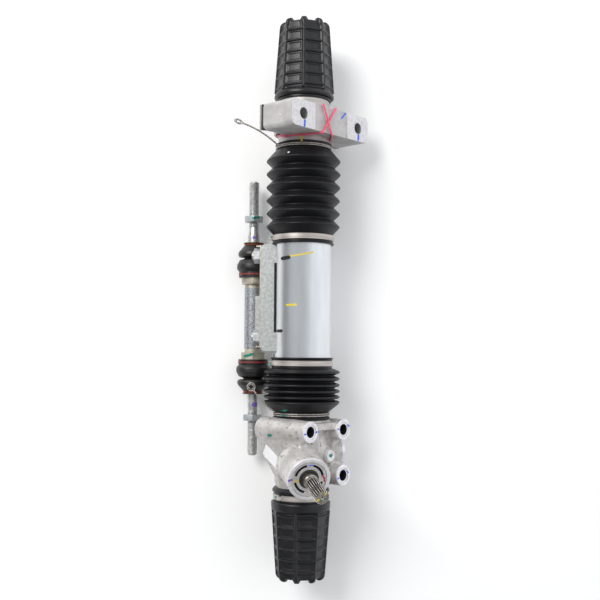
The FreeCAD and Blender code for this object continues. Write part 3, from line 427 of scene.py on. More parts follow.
def makeCover(end, direction, rim, neckRadius):
    node, size = end + "_end_cover", coverSizes[end]
    made = bmesh.new()
    place = onRack(rim, direction)
    path, sideRadius = coverPath(size, neckRadius)
    rings = []
    for radius, height, part in path:
        ring = []
        lean = math.pi / 2 * (part - 1)
        inward = smoothStep(sideRadius - radius, *cover["crestInner"])
        for column in range(cover["columns"]):
            turn = 2 * math.pi * column / cover["columns"]
            point = outward(turn) * radius + Vector((0, 0, height))
            if 1 <= part < 3:
                rise = coverRise(turn, min(height, size["length"] - 1), radius, size)
                crestAway = fromRib(turn, size) * sideRadius - cover["crestHalf"]
                crest = cover["crestRise"] * (1 - smoothStep(crestAway, cover["flank"], cover["crestSlope"]))
                crest *= 1 - inward
                point += outward(turn) * rise * math.cos(lean) + Vector((0, 0, crest * math.sin(lean)))
            ring.append(made.verts.new(place @ (point * mm)))
        rings.append(ring)
    joinRings(made, rings)
    piece = newPiece(node + "_moulded", finishMesh(node, made), looks["cover"], 50)
    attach(piece, "housing")
    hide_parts(node)


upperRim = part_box("upper_end_cover")[0].y
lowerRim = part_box("lower_end_cover")[0].y + (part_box("upper_end_cover")[1].y - upperRim)
neckRadius = (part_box("housing_tube")[1].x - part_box("housing_tube")[0].x) / 2 / mm
lowerNeck = 30.5
makeCover("upper", 1, upperRim, neckRadius)
makeCover("lower", -1, lowerRim, lowerNeck)

# soft collar of the lower cover, under its ear clamp, and the rubber bead of the upper one
collar = [(lowerNeck + 0.1, -2), (33.3, -2), (33.3, 10.2), (34.9, 11.2), (35.7, 12.2), (35.7, 14.2), (34.9, 15.4),
          (33.0, 17.0), (lowerNeck + 0.1, 17.0)]
bead = [(neckRadius + 0.2, 0.6), (32.2, 0.6), (33.4, -0.4), (33.4, -2.6), (32.6, -3.4), (neckRadius + 0.2, -3.4)]
for name, outline, rim in (("lower_cover_collar", collar, lowerRim), ("upper_cover_bead", bead, upperRim)):
    piece = turnedPiece(name, rounded(outline, 0.7), onRack(rim), looks["cover"], 96)
    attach(piece, "housing")
print("covers")


# Bellows: rounded crests and tighter valleys, with a cuff at each end

bellows = {"wall": 2.4, "crestRound": 2.2, "valleyRound": 1.2, "sleeve": 37.3, "overSleeve": -1}
bellowsSizes = {
    # cuff: radius, distance in from the end and corner radius; lip: where the rubber lies on the sleeve
    "upper": {"cuff": [(31.9, 4, 0), (31.9, 0, 0.5), (34.9, 0, 0.9), (35.3, 2.6, 0.9), (33.4, 3.4, 0.3),
                       (33.4, 7.4, 0.5), (35.0, 8.2, 0.8)],
              "folds": [172.5 - 16.3 * index for index in range(6)], "crest": 45.9, "half": 0.6, "valley": 38.1,
              "lip": (3.2, 15.6), "still": 9},
    "lower": {"cuff": [(32.5, 4, 0), (32.5, 0, 0.5), (35.3, 0, 0.9), (35.7, 2.7, 0.9), (33.9, 3.6, 0.3),
                       (33.9, 9.0, 0.5), (35.4, 9.8, 0.8)],
              "folds": [-127.0, -120.6, -113.3, -105.7, -97.9, -89.6], "crest": 47.3, "half": 1.3, "valley": 38.9,
              "lip": (-0.8, 12.2), "still": 10},
}


def sag(turn, height):
    # moulded rubber is never quite round
    return 0.25 * math.sin(2 * turn + height * 0.05) + 0.12 * math.sin(5 * turn - height * 0.11)


def makeBellows(end, direction):
    node, size = end + "_bellows", bellowsSizes[end]
    side = (direction + 1) // 2
    cuffAt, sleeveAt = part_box(node)[side].y / mm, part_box("carriage_sleeve")[side].y / mm
    outline = [(radius, cuffAt - direction * inside, corner) for radius, inside, corner in size["cuff"]]
    for index, fold in enumerate(size["folds"]):
        outline += [(size["crest"], fold + direction * size["half"], bellows["crestRound"]),
                    (size["crest"], fold - direction * size["half"], bellows["crestRound"])]
        if index < len(size["folds"]) - 1:
            outline.append((size["valley"], (fold + size["folds"][index + 1]) / 2, bellows["valleyRound"]))
    start, edge = size["lip"]
    lip = [(0, start, 0.8), (0, edge - 2.6, 0.3), (1.4, edge - 1.9, 0.6), (1.4, edge, 0.6), (0, edge, 0)]
    outline += [(bellows["sleeve"] + rise, sleeveAt - direction * inside, corner) for rise, inside, corner in lip]
    section = walled(outline, bellows["wall"])
    piece = turnedPiece(node + "_folded", section, onRack(), looks["rubber"], 144, sag, True, 180)
    start = (cuffAt - direction * size["still"]) * mm
    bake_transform(piece)
    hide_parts(node)


for end, direction in ends:
    makeBellows(end, direction)
print("bellows")


# Boots of the ball joints: a bulb on the housing and a cone on the rod

boot = {"bulb": [(16.9, -5.0, 0), (18.9, -5.0, 0.3), (18.9, 1.3, 0.3), (18.4, 1.9, 0.4), (19.4, 3.0, 0.8),
                 (21.6, 6.0, 3.5), (21.4, 11.0, 4.5), (18.4, 17.0, 3.0), (12.8, 18.8, 0.8), (12.1, 19.6, 0)],
        "cone": [(12.1, 19.6, 0), (12.4, 20.4, 0.4), (18.6, 21.2, 0.9), (20.2, 24.0, 2.0), (19.4, 27.6, 2.0),
                 (11.6, 36.6, 1.2), (10.6, 37.8, 0.4), (8.0, 37.8, 0)],
        "wall": 1.2, "base": 57.6, "bulbBend": (5, 19.6), "coneBend": (22, 37)}


def makeBoot(end, direction):
    node = end + "_boot"
    place = onLink(direction) @ Matrix.Translation((0, 0, boot["base"] * mm))
    for part, first, second in (("bulb", "carriage", end + "_seat"), ("cone", end + "_seat", end + "_rod")):
        piece = turnedPiece(end + "_boot_" + part, walled(boot[part], boot["wall"]), place, looks["boot"], 80, None,
                            True, 180)
        for vertex in piece.data.vertices:
            vertex.co.z = max(vertex.co.z, 0)  # rubber that lies on the table is pressed flat against it
        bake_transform(piece)
        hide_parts(node)


for end, direction in ends:
    makeBoot(end, direction)
print("boots")


# Threads and serrations, cut by the formula of their flanks

def threadCut(pitch, depth):
    def relief(turn, height):
        phase = (height / pitch - turn / (2 * math.pi)) % 1
        return -depth * abs(2 * phase - 1)
    return relief


rod = {"thread": 6.6, "pitch": 1.75, "depth": 0.75, "reach": 176.0, "disc": 97.1, "shoulder": 18.0, "neck": 6.0,
       "core": 5.2, "chamfer": 4.4, "ball": 10, "ballAt": 58.9}
rodBody = {"upper": 7.5, "lower": 6.3}


def makeRod(end, direction):
    body, neck = rodBody[end], rod["neck"]
    under, shoulder = rod["disc"] - 2.2, rod["disc"] + rod["shoulder"]
    stem = [(4.5, 68.0), (4.5, 80.0), (neck, 85.0), (neck, under)]
    if end == "upper":
        stem += [(body + 0.2, under), (body + 0.2, rod["disc"] + 1), (body, rod["disc"] + 8), (6.4, shoulder - 1),
                 (neck, shoulder + 2)]
    else:
        stem += [(body, under), (body, shoulder - 1), (body - 0.3, shoulder), (5.9, shoulder + 3)]
    rows = []
    height = shoulder + 2.6
    while height < rod["reach"] - 1.2:
        rows.append((rod["thread"], height))
        height += rod["pitch"] / 6
    tip = [(rod["core"], rod["reach"] - 2.2), (rod["core"], rod["reach"] - 1.2), (rod["chamfer"], rod["reach"]),
           (0.001, rod["reach"])]
    ball = [(rod["ball"] * math.sin(step / 16 * math.pi) + 0.0001,
             rod["ballAt"] - rod["ball"] * math.cos(step / 16 * math.pi)) for step in range(17)]
    cut = threadCut(rod["pitch"], rod["depth"])
    parts = (("stem", stem, 64, None), ("thread", rows, 40, cut), ("tip", tip, 40, None), ("ball", ball, 48, None))
    for part, outline, columns, relief in parts:
        piece = turnedPiece(end + "_rod_" + part, outline, onLink(direction), looks["steel"], columns, relief)
        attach(piece, end + "_rod")
        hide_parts(end + "_tie_rod")


for end, direction in ends:
    makeRod(end, direction)

shaft = {"radius": 8.5, "collar": 8.9, "neck": 7.9, "foot": 59, "teeth": 18, "depth": 1.8, "top": 131.0,
         "spline": 38.0, "groove": 3.5, "grooveRadius": 7.5, "teethEnd": 60, "shadedValley": 0.3}


def serration(turn, height=0):
    phase = (turn * shaft["teeth"] / (2 * math.pi)) % 1
    tooth = abs(2 * phase - 1)
    return -shaft["depth"] * smoothStep(tooth, 0.2, 0.65)


def makeShaft():
    radius, top, start = shaft["radius"], shaft["top"], shaft["top"] - shaft["spline"]
    groove, reach = (top + start) / 2, shaft["groove"]
    stem = [(radius, shaft["foot"]), (radius, 84.0), (shaft["collar"], 84.6), (shaft["collar"], 88),
            (shaft["neck"], 89), (shaft["neck"], start - 1.5), (7.2, start - 1), (7.2, start)]
    spline = [(7.3, start), (8.2, start + 0.6), (radius, start + 1.6), (radius, groove - reach),
              (7.8, groove - reach + 1.2), (shaft["grooveRadius"], groove), (7.8, groove + reach - 1.2),
              (radius, groove + reach), (radius, top - 1.4), (8.0, top - 0.4)]
    endFace = [(7.4, top - 0.5), (7.2, top), (2.4, top), (2.2, top - 0.2), (0.6, top - 3.5), (0.001, top - 3.5)]
    made = cleanCopy("pinion_shaft")
    bmesh.ops.bisect_plane(made, geom=made.verts[:] + made.edges[:] + made.faces[:], dist=0.001 * mm,
                           plane_co=pinionPoint + pinionAxis * shaft["teethEnd"] * mm, plane_no=pinionAxis,
                           clear_outer=True)
    teeth = newPiece("pinion_teeth", finishMesh("pinion_teeth", made), looks["steel"], 30)
    plainPart = turnedPiece("pinion_stem", stem, onPinion, looks["shaft"], 72)
    columns = shaft["teeth"] * 12
    # the serration takes the lighter tooth steel as a painted highlight on its crests
    splined = turnedPiece("pinion_serration", spline, onPinion, looks["tooth"], columns, serration, angle=50)
    splined.data.materials.append(looks["bore"])
    toPinion = onPinion.inverted()
    for face in splined.data.polygons:
        middle = toPinion @ face.center
        if serration(math.atan2(middle.y, middle.x)) < -shaft["shadedValley"] * shaft["depth"]:
            face.material_index = 1  # painted shade in the valleys, with the near-black bore_shadow material
    for piece in (teeth, plainPart, splined, turnedPiece("pinion_face", endFace, onPinion, looks["shaft"], 72)):
        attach(piece, "pinion")
        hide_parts("pinion_shaft")


makeShaft()
print("rods and shaft")


# Rigid pieces that only need their edges broken and their finish

car = {"lie": 48.0, "shift": 0.3, "boltFace": 45.7, "rim": 0.06}


def onCar(x, y, z):
    # local Z is the direction of the mounting bolts
    turn = Matrix.Rotation(math.radians(car["lie"]), 4, "Y")
    shift = Matrix.Translation((rackAxis.x, car["shift"] * mm, rackAxis.z))
    return shift @ turn @ Matrix.Translation(Vector((x, y, z)) * mm)


carUp = onCar(0, 0, 1).to_3x3() @ Vector((0, 0, 1))
plainPieces = {
    "housing_tube": ("neck", 0.5), "block_isolator": ("isolator", 0.4), "block_strap": ("clampSteel", 0.3),
    "boss_bushes": ("machined", 0.25), "carriage_sleeve": ("sleeve", 0.5), "takeoff_channel": ("channel", 0.6),
    "lock_plate": ("creamZinc", 0.3), "takeoff_nuts": ("nutZinc", 0.4), "takeoff_studs": ("yellowZinc", 0.3),
    "link_tube": ("linkTube", 0.4), "housing_plug": ("machined", 0.5), "yoke_lock_ring": ("machined", 0.5),
    "yoke_plug": ("machined", 0.4), "pinion_retainer": ("turnedFace", 0.4), "pinion_seal": ("isolator", 0.4),
}
endPieces = {"joint_housing": ("creamZinc", 0.5), "boot_ring": ("redRing", 0.4), "boot_collar": ("orangeRing", 0.25),
             "rod_disc": ("disc", 0.3), "jam_nut": ("nutZinc", 0.7)}
plainPieces.update({end + "_" + name: finish for name, finish in endPieces.items() for end, _ in ends})
hiddenPieces = {
    "rack_bar": "steel", "rack_bush_upper": "plasticPale", "rack_bush_lower": "plasticPale",
    "guide_shoe": "plasticPale", "support_yoke": "machined", "yoke_spring": "steel", "bearing_outer_race": "steel",
    "bearing_inner_race": "steel", "bearing_rollers": "steel", "pinion_lower_bush": "plasticPale",
    "takeoff_spacers": "steel", "upper_ball_seat": "plasticPale", "lower_ball_seat": "plasticPale",
}
plain = {node: dressed(node, looks[look], width) for node, (look, width) in plainPieces.items()}
for node, look in hiddenPieces.items():
    bare(node, looks[look])

bosses = {"boss_left": (-33.6, -160.6), "boss_right": (28.0, -160.6), "boss_low": (28.0, -217.4)}
bore = {"reach": 8, "steepest": 0.7}


def darken(piece, centre, look):
    # painted shade: a darker material on the walls of a bore that runs along the bolts
    piece.data.materials.append(looks[look])
    for face in piece.data.polygons:
        arm = face.center - centre
        arm -= carUp * arm.dot(carUp)
        facesIn = abs(face.normal.dot(carUp)) < bore["steepest"] and face.normal.dot(arm) < 0
        if facesIn and arm.length < bore["reach"] * mm:
            face.material_index = len(piece.data.materials) - 1


# painted shade, near black, on the bore walls of the boss bushes
for x, y in bosses.values():
    darken(plain["boss_bushes"], onCar(x, y, 0).translation, "bore")

# ring moved out and pressed flatter, nut grown, and a soft seal on the rod behind the boot
joint = {"ringOut": 2.5, "ringAt": 56.9, "ringPress": 0.35, "nutGrow": 0.1, "sealRound": 0.3,
         "seal": [(9.6, 93.8), (12.0, 93.8), (12.6, 94.4), (12.0, 95.1), (9.6, 95.1)]}
for end, direction in ends:
    for vertex in plain[end + "_boot_ring"].data.vertices:
        vertex.co.y += direction * joint["ringOut"] * mm
        vertex.co.y += (linkMiddle.y + direction * joint["ringAt"] * mm - vertex.co.y) * joint["ringPress"]
    for vertex in plain[end + "_jam_nut"].data.vertices:
        vertex.co.x += (vertex.co.x - linkMiddle.x) * joint["nutGrow"]
        vertex.co.z += (vertex.co.z - linkMiddle.z) * joint["nutGrow"]
    seal = turnedPiece(end + "_boot_seal", rounded(joint["seal"], joint["sealRound"]), onLink(direction),
                       looks["orangeRing"], 64)
    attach(seal, end + "_rod")

# the rubber and its strap end at the edges of the block; each low limit holds right of an X
strapTop = 231.5
strapLow = ((-22, 201.5), (-37, 205.5))
for node in ("block_isolator", "block_strap"):
    for vertex in plain[node].data.vertices:
        vertex.co.y = min(vertex.co.y, strapTop * mm)
        low = next((low for x, low in strapLow if vertex.co.x > x * mm), None)
        if low:
            vertex.co.y = max(vertex.co.y, low * mm)

slotDepth = pinionPoint + pinionAxis * 79.4 * mm  # painted shade: the slots of the ring nut get the near-black material below this
plain["pinion_retainer"].data.materials.append(looks["bore"])
for face in plain["pinion_retainer"].data.polygons:
    if (face.center - slotDepth).dot(pinionAxis) < 0:
        face.material_index = 1
print("plain pieces")


# Ear clamps: a strip bent round and pinched into an ear, with its tail laid over it

earClamp = {"thick": 0.8, "width": 6.5, "ear": 3.6, "earHalf": 2.4, "earWidth": 4.9, "tail": 62, "tailWidth": 5.2,
            "tailThick": 0.64, "edge": 0.18}
clamps = {
    # body, station, radius and the turn of the ear in degrees
    "upper_bellows_clamp": ("carriage", 76.6, 37.4, 192), "lower_bellows_clamp": ("carriage", -78.6, 37.4, 192),
    "lower_cover_clamp": ("housing", -244.1, 33.35, 222),
}


def bentStrip(name, path, width, thick, place):
    made = bmesh.new()
    rows = []
    for index, point in enumerate(path):
        onward = (path[min(index + 1, len(path) - 1)] - path[max(index - 1, 0)]).normalized()
        out = Vector((onward.y, -onward.x, 0))
        rows.append([made.verts.new(place @ ((point + out * rise + Vector((0, 0, side * width / 2))) * mm))
                     for rise, side in ((0, -1), (0, 1), (thick, 1), (thick, -1))])
    joinRings(made, rows)
    made.faces.new(rows[0])
    made.faces.new(rows[-1])
    piece = newPiece(name, finishMesh(name, made), looks["clampSteel"], 30)
    breakEdges(piece, earClamp["edge"], angle=40)
    return piece


def onCircle(radius, degrees):
    return outward(math.radians(degrees)) * radius


def makeClamp(node, body, station, radius, earTurn):
    half, rise, thick = earClamp["earHalf"], earClamp["ear"], earClamp["thick"]
    gap = math.degrees(half / radius)
    ring = [onCircle(radius, earTurn + gap + (360 - 2 * gap) * step / 120) for step in range(121)]
    out = onCircle(1, earTurn)
    side = Vector((-out.y, out.x, 0)) * half
    foot, waist, crown = out * (radius + 0.3), out * (radius + rise * 0.5), out * (radius + rise * 0.62)
    ear = [foot - side, waist - side * 0.86]
    for step in range(9):
        angle = math.pi * step / 8
        ear.append(crown + out * rise * 0.38 * math.sin(angle) - side * 1.05 * math.cos(angle))
    ear += [waist + side * 0.86, foot + side]
    tailRadius, tailFrom = radius + thick + 0.05, earTurn - gap - 1
    tail = [onCircle(tailRadius, tailFrom - earClamp["tail"] * (1 - step / 24)) for step in range(25)]
    place = onRack(station * mm)
    for piece in (bentStrip(node + "_band", ring, earClamp["width"], thick, place),
                  bentStrip(node + "_ear", ear, earClamp["earWidth"], thick, place),
                  bentStrip(node + "_tail", tail, earClamp["tailWidth"], earClamp["tailThick"], place)):
        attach(piece, body)
        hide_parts(node)


for node, clamp in clamps.items():
    makeClamp(node, *clamp)
print("clamps")


# Mounting block, with lighter machined lugs

boltPlaces = {"spacing": 101.8, "station": 216.6}
block = dressed("mounting_block", looks["blockAlloy"], 0.7, 3)
block.data.materials.append(looks["facedAlloy"])
for face in block.data.polygons:
    above = (face.center - onCar(0, 0, 0).translation).dot(carUp)
    if face.normal.dot(carUp) > 0.99 and above > (car["boltFace"] - 0.3) * mm:
        face.material_index = 1
# painted shade, a darker grey, on the walls of the bolt holes
for side in (-1, 1):
    darken(block, onCar(side * boltPlaces["spacing"] / 2, boltPlaces["station"], 0).translation, "boltBoreShade")
print("block")


# Pinion housing: the lumps of the casting skinned over as one, so that every joint of two lumps has a cast fillet

cast = {"grain": 0.85, "fillet": 1.5, "smooth": 3, "towerTop": 81.0, "towerRadius": 26.0, "towerBack": 32.0,
        "neckRadius": 19.0, "bossRadius": 13.0, "bossRoot": 15.5, "bossLeftBack": -34.3, "bossRightBack": -41.0,
        "wallFace": -42.5, "wall": 12, "boreRadius": 9.0, "retainerRadius": 22.05, "retainerDepth": 10.0,
        "yokeStation": -189.7, "yokeTurn": 18.0, "yokeReach": 49.0, "yokeRadius": 17.0, "yokeBore": 12.6,
        "plug": (13.0, -192.7, 0), "plugBore": 7.05}
yokeOut = Vector((math.cos(math.radians(cast["yokeTurn"])), 0, -math.sin(math.radians(cast["yokeTurn"]))))
onYoke = (Matrix.Translation((rackAxis.x, cast["yokeStation"] * mm, rackAxis.z))
          @ yokeOut.to_track_quat("Z", "Y").to_matrix().to_4x4())
lowBarrel = [(30.5, -261.7), (30.5, -231.7), (33, -225.7), (33, -151.3), (34.5, -151.3), (34.5, -148.3), (32, -148.3),
             (32, -119.3), (31, -118.3)]
back, wide = cast["towerBack"], cast["towerRadius"]
tower = [(cast["neckRadius"], -8), (cast["neckRadius"], back - 2), (wide - 2.4, back), (wide + 0.4, back + 2.0),
         (wide + 1.0, back + 4.5), (wide - 0.4, back + 8.0), (wide, cast["towerTop"])]
slabs = [
    # low and high corners in the frame of the mounting bolts
    ((-33.6, -160.6, -16), (28, -151.6, 41.7)), ((0, -217.4, -28), (34, -160.6, 8)),
    ((24, -217.4, 0), (32, -160.6, 31.7)), ((-6, -222.4, -24), (28, -214.4, 33.7)),
]
labelWall = [(-164, -30), (-187, -30), (-216, -6), (-216, 6), (-196, 22), (-172, 40), (-164, 40)]


def lump(made, outline, place, columns=72):
    rings = [[made.verts.new(place @ (outward(2 * math.pi * column / columns) * radius * mm
                                      + Vector((0, 0, height * mm)))) for column in range(columns)]
             for radius, height in outline]
    joinRings(made, rings)
    made.faces.new(rings[0][::-1])
    made.faces.new(rings[-1])


def post(made, radius, low, high, place, columns=72):
    lump(made, [(radius, low), (radius, high)], place, columns)


def slab(made, low, high):
    corners = [made.verts.new(onCar(x, y, z).translation) for z in (low[2], high[2])
               for x, y in ((low[0], low[1]), (high[0], low[1]), (high[0], high[1]), (low[0], high[1]))]
    for face in ((3, 2, 1, 0), (4, 5, 6, 7), (0, 1, 5, 4), (1, 2, 6, 5), (2, 3, 7, 6), (3, 0, 4, 7)):
        made.faces.new([corners[index] for index in face])


def prism(made, outline, near, far):
    # an outline of Y and Z in the frame of the bolts, drawn out along X
    rings = [[made.verts.new(onCar(x, y, z).translation) for y, z in outline] for x in (near, far)]
    joinRings(made, rings)
    made.faces.new(rings[0])
    made.faces.new(rings[1][::-1])


def castLumps():
    made = bmesh.new()
    lump(made, lowBarrel, onRack(), 96)
    lump(made, tower, onPinion, 96)
    lump(made, [(13, -34), (15, 0)], onPinion)
    post(made, cast["yokeRadius"], 0, cast["yokeReach"], onYoke)
    for name, (x, y) in bosses.items():
        left = name == "boss_left"
        root = cast["bossRoot"] if left else cast["bossRadius"]
        backAt = cast["bossLeftBack"] if left else cast["bossRightBack"]
        lump(made, [(root, backAt), (cast["bossRadius"], car["boltFace"])], onCar(x, y, 0))
    lump(made, [(13.5, 0), (12.5, 33.0)], onCar(*cast["plug"]))
    post(made, 9.4, 0, 36.7, onCar(*cast["plug"]))
    for low, high in slabs:
        slab(made, low, high)
    prism(made, labelWall, cast["wallFace"], cast["wallFace"] + cast["wall"])
    bmesh.ops.recalc_face_normals(made, faces=made.faces)
    return made


def castBores():
    made = bmesh.new()
    for x, y in bosses.values():
        post(made, cast["boreRadius"], -60, 60, onCar(x, y, 0))
    post(made, cast["retainerRadius"], cast["towerTop"] - cast["retainerDepth"], 90, onPinion, 96)
    post(made, cast["yokeBore"], 38, 60, onYoke)
    post(made, cast["plugBore"], 30, 50, onCar(*cast["plug"]))
    bmesh.ops.recalc_face_normals(made, faces=made.faces)
    return made


def linked(name, made):
    item = bpy.data.objects.new(name, toMesh(name, made))
    scene.collection.objects.link(item)
    return item


def castSkin(node):
    piece = linked(node + "_lumps", castLumps())
    bores = linked(node + "_bores", castBores())
    for change in (0, cast["fillet"], 0, -cast["fillet"], 0):
        if change:
            swell = piece.modifiers.new("swell", "DISPLACE")
            swell.strength = change * mm
            swell.mid_level = 0
        else:
            skin = piece.modifiers.new("skin", "REMESH")
            skin.mode = "VOXEL"
            skin.voxel_size = cast["grain"] * mm
    piece.modifiers.new("smooth", "SMOOTH").iterations = cast["smooth"]
    cut = piece.modifiers.new("bores", "BOOLEAN")
    cut.operation = "DIFFERENCE"
    cut.object = bores
    baked = bpy.data.meshes.new_from_object(piece.evaluated_get(bpy.context.evaluated_depsgraph_get()))
    for item in (piece, bores):
        bpy.data.objects.remove(item)
    baked.name = node + "_cast"
    baked.materials.clear()
    piece = newPiece(node + "_cast", baked, looks["casting"], 50)
    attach(piece, nodes[node]["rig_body"])
    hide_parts(node)


def facedRing(name, inner, outer, rise, depth, place, look, columns):
    # a machined face on the end of a boss: inner and outer radius, rise over the casting and depth into it
    outline = [(inner, -depth), (inner, rise), (outer - 0.5, rise), (outer, -0.4), (outer, -depth)]
    piece = turnedPiece(name, outline, place, looks[look], columns, None, True, 20)
    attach(piece, "housing")


castSkin("pinion_housing")
for name, (x, y) in bosses.items():
    facedRing(name + "_face", 9.05, 12.9, car["rim"], 2.0, onCar(x, y, car["boltFace"]), "machined", 72)
onTower = onPinion @ Matrix.Translation((0, 0, cast["towerTop"] * mm))
facedRing("tower_face", 22.1, 26.1, 0.1, 3.0, onTower, "facedAlloy", 96)
print("casting")


# Twisted lock wires and the elastic band

def strand(name, points, radius, look, closed=False):
    line = bpy.data.curves.new(name, "CURVE")
    line.dimensions = "3D"
    line.bevel_depth = radius * mm
    line.bevel_resolution = 4
    line.use_fill_caps = True
    spline = line.splines.new("POLY")
    spline.points.add(len(points) - 1)
    for spot, point in zip(spline.points, points):
        spot.co = (*point, 1)
    spline.use_cyclic_u = closed
    carrier = bpy.data.objects.new(name + "_line", line)
    mesh = bpy.data.meshes.new_from_object(carrier)
    bpy.data.objects.remove(carrier)
    return newPiece(name, mesh, looks[look], 60)


def through(points, steps=14):
    # a smooth line through given points
    path = []
    spots = [points[0]] + list(points) + [points[-1]]
    for a, b, c, d in zip(spots, spots[1:], spots[2:], spots[3:]):
        for step in range(steps):
            t = step / steps
            path.append(0.5 * (2 * b + (c - a) * t + (2 * a - 5 * b + 4 * c - d) * t * t
                               + (3 * b - a - 3 * c + d) * t * t * t))
    path.append(points[-1])
    return path


def twist(path, radius, pitch, phase):
    # one of two strands that run round each other
    wound = []
    side = Vector((0, 0, 1))
    travelled = 0
    for index, point in enumerate(path):
        onward = (path[min(index + 1, len(path) - 1)] - path[max(index - 1, 0)]).normalized()
        side = (side - onward * side.dot(onward)).normalized()
        if index:
            travelled += (point - path[index - 1]).length / mm
        turn = phase + 2 * math.pi * travelled / pitch
        wound.append(point + (side * math.cos(turn) + onward.cross(side) * math.sin(turn)) * radius * mm)
    return wound


def evenly(path, gap):
    # the same line with points a set distance apart
    spaced = [path[0]]
    carried = 0
    for start, end in zip(path, path[1:]):
        span = (end - start).length
        at = gap * mm - carried
        while at < span:
            spaced.append(start.lerp(end, at / span))
            at += gap * mm
        carried = span - (at - gap * mm)
    spaced.append(path[-1])
    return spaced


def pixelRay(x, y):
    side = photo["side"]
    ahead = Vector(((x - side / 2) / side, (side / 2 - y) / side + camera.data.shift_y,
                    -camera.data.lens / camera.data.sensor_width))
    return (camera.matrix_world.to_3x3() @ ahead).normalized()


def atPixel(x, y, height):
    # the place at a height, in millimetres above the floor, that the camera shows at a pixel
    ray = pixelRay(x, y)
    return camera.location + ray * ((height * mm - camera.location.z) / ray.z)


lockWire = {"strand": 0.62, "turn": 0.75, "twist": 0.66, "pitch": 5.6, "gap": 0.35, "innerLoop": 0.62, "wave": 0.9}
lockWireSizes = {
    # the turns round the cuff, half length and half width of the end loop, and the pixels and heights of the tail
    "upper": {"radius": 34.35, "stations": (187.9, 189.9), "loop": (5.2, 2.6),
              "tail": [(279.1, 145.9, 77), (269, 137.5, 80), (259.6, 131, 83.5), (250, 126, 86.5),
                       (242.5, 123, 88.5)]},
    "lower": {"radius": 34.85, "stations": (-142.9, -140.6), "loop": (4.9, 4.9),
              "tail": [(273.3, 411.2, 71.4), (266, 404.5, 72.5), (259, 397.5, 73), (253.5, 390, 72)]},
}


def makeLockWire(end):
    node, size = end + "_lock_wire", lockWireSizes[end]
    pieces = []
    for index, station in enumerate(size["stations"]):
        ring = [onRack(station * mm) @ (outward(step / 60 * math.pi) * size["radius"] * mm) for step in range(120)]
        pieces.append(strand(node + "_turn_" + str(index), ring, lockWire["turn"], "wire", True))
    tail = [atPixel(*spot) for spot in size["tail"]]
    path = evenly(through(tail), lockWire["gap"])
    for index in (0, 1):
        wound = twist(path, lockWire["twist"], lockWire["pitch"], index * math.pi)
        pieces.append(strand(node + "_strand_" + str(index), wound, lockWire["strand"], "wire"))
    heading = (tail[-1] - tail[-2]).normalized()
    across = heading.cross(Vector((0, 0, 1))).normalized()
    reach, wide = size["loop"]
    centre = tail[-1] + heading * reach * mm
    for index, share in enumerate((1.0, lockWire["innerLoop"])):
        circle = []
        for step in range(40):
            angle = step / 20 * math.pi
            wave = index * lockWire["wave"] * math.cos(4 * angle)
            circle.append(centre + (across * math.sin(angle) * wide - heading * math.cos(angle) * reach) * share * mm
                          + Vector((0, 0, wave * mm)))
        pieces.append(strand(node + "_loop_" + str(index), circle, lockWire["strand"], "wire", True))
    for piece in pieces:
        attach(piece, nodes[node]["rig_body"])
        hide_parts(node)


for end, _ in ends:
    makeLockWire(end)

band = {"radius": 1.05, "low": 199.1, "high": 233.7, "front": 46.3, "over": 47.2, "neck": 32.5, "step": 18,
        "corner": 1.8, "climb": 5.4, "climbFrom": (1.0, 1.8), "climbTo": (2.3, 3.25)}


def climb(angle):
    # behind the tube the low arc leaves its station and comes back to it
    return band["climb"] * smoothStep(-angle, *band["climbFrom"]) * (1 - smoothStep(-angle, *band["climbTo"]))


def makeBand():
    low, high, front, over, neck = (band[name] for name in ("low", "high", "front", "over", "neck"))
    behind = [math.radians(-angle) for angle in range(0, 181, band["step"])]
    further = behind + [math.radians(-200), math.radians(-216)]
    corners = [(-17.5, low, front), (7.7, high, front), (12, high, 34)]
    corners += [(neck * math.cos(angle), high, neck * math.sin(angle)) for angle in further]
    corners += [(-7, high, 37.5), (-17.5, high, over), (-1.5, low, over), (20, low, 28)]
    corners += [(neck * math.cos(angle), low + climb(angle), neck * math.sin(angle)) for angle in behind]
    spots = [onCar(*corner).translation for corner in corners]
    path = []
    for before, corner, after in zip(spots[-1:] + spots[:-1], spots, spots[1:] + spots[:1]):
        first = corner + (before - corner).normalized() * band["corner"] * mm
        last = corner + (after - corner).normalized() * band["corner"] * mm
        path += [first.lerp(corner, step / 6).lerp(corner.lerp(last, step / 6), step / 6) for step in range(7)]
    piece = strand("elastic_band_loop", path, band["radius"], "band", True)
    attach(piece, "housing")
    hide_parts("elastic_band")


makeBand()
print("wires and band")


# Paint and inspection marks, and a dab of painted shade, laid on whatever the camera sees at a pixel

def paint(name, colour):
    return surface(name, tuple(value * 0.8 for value in colour), colour, (0.35, 0.5), 0, 500, 1500, 0.02)


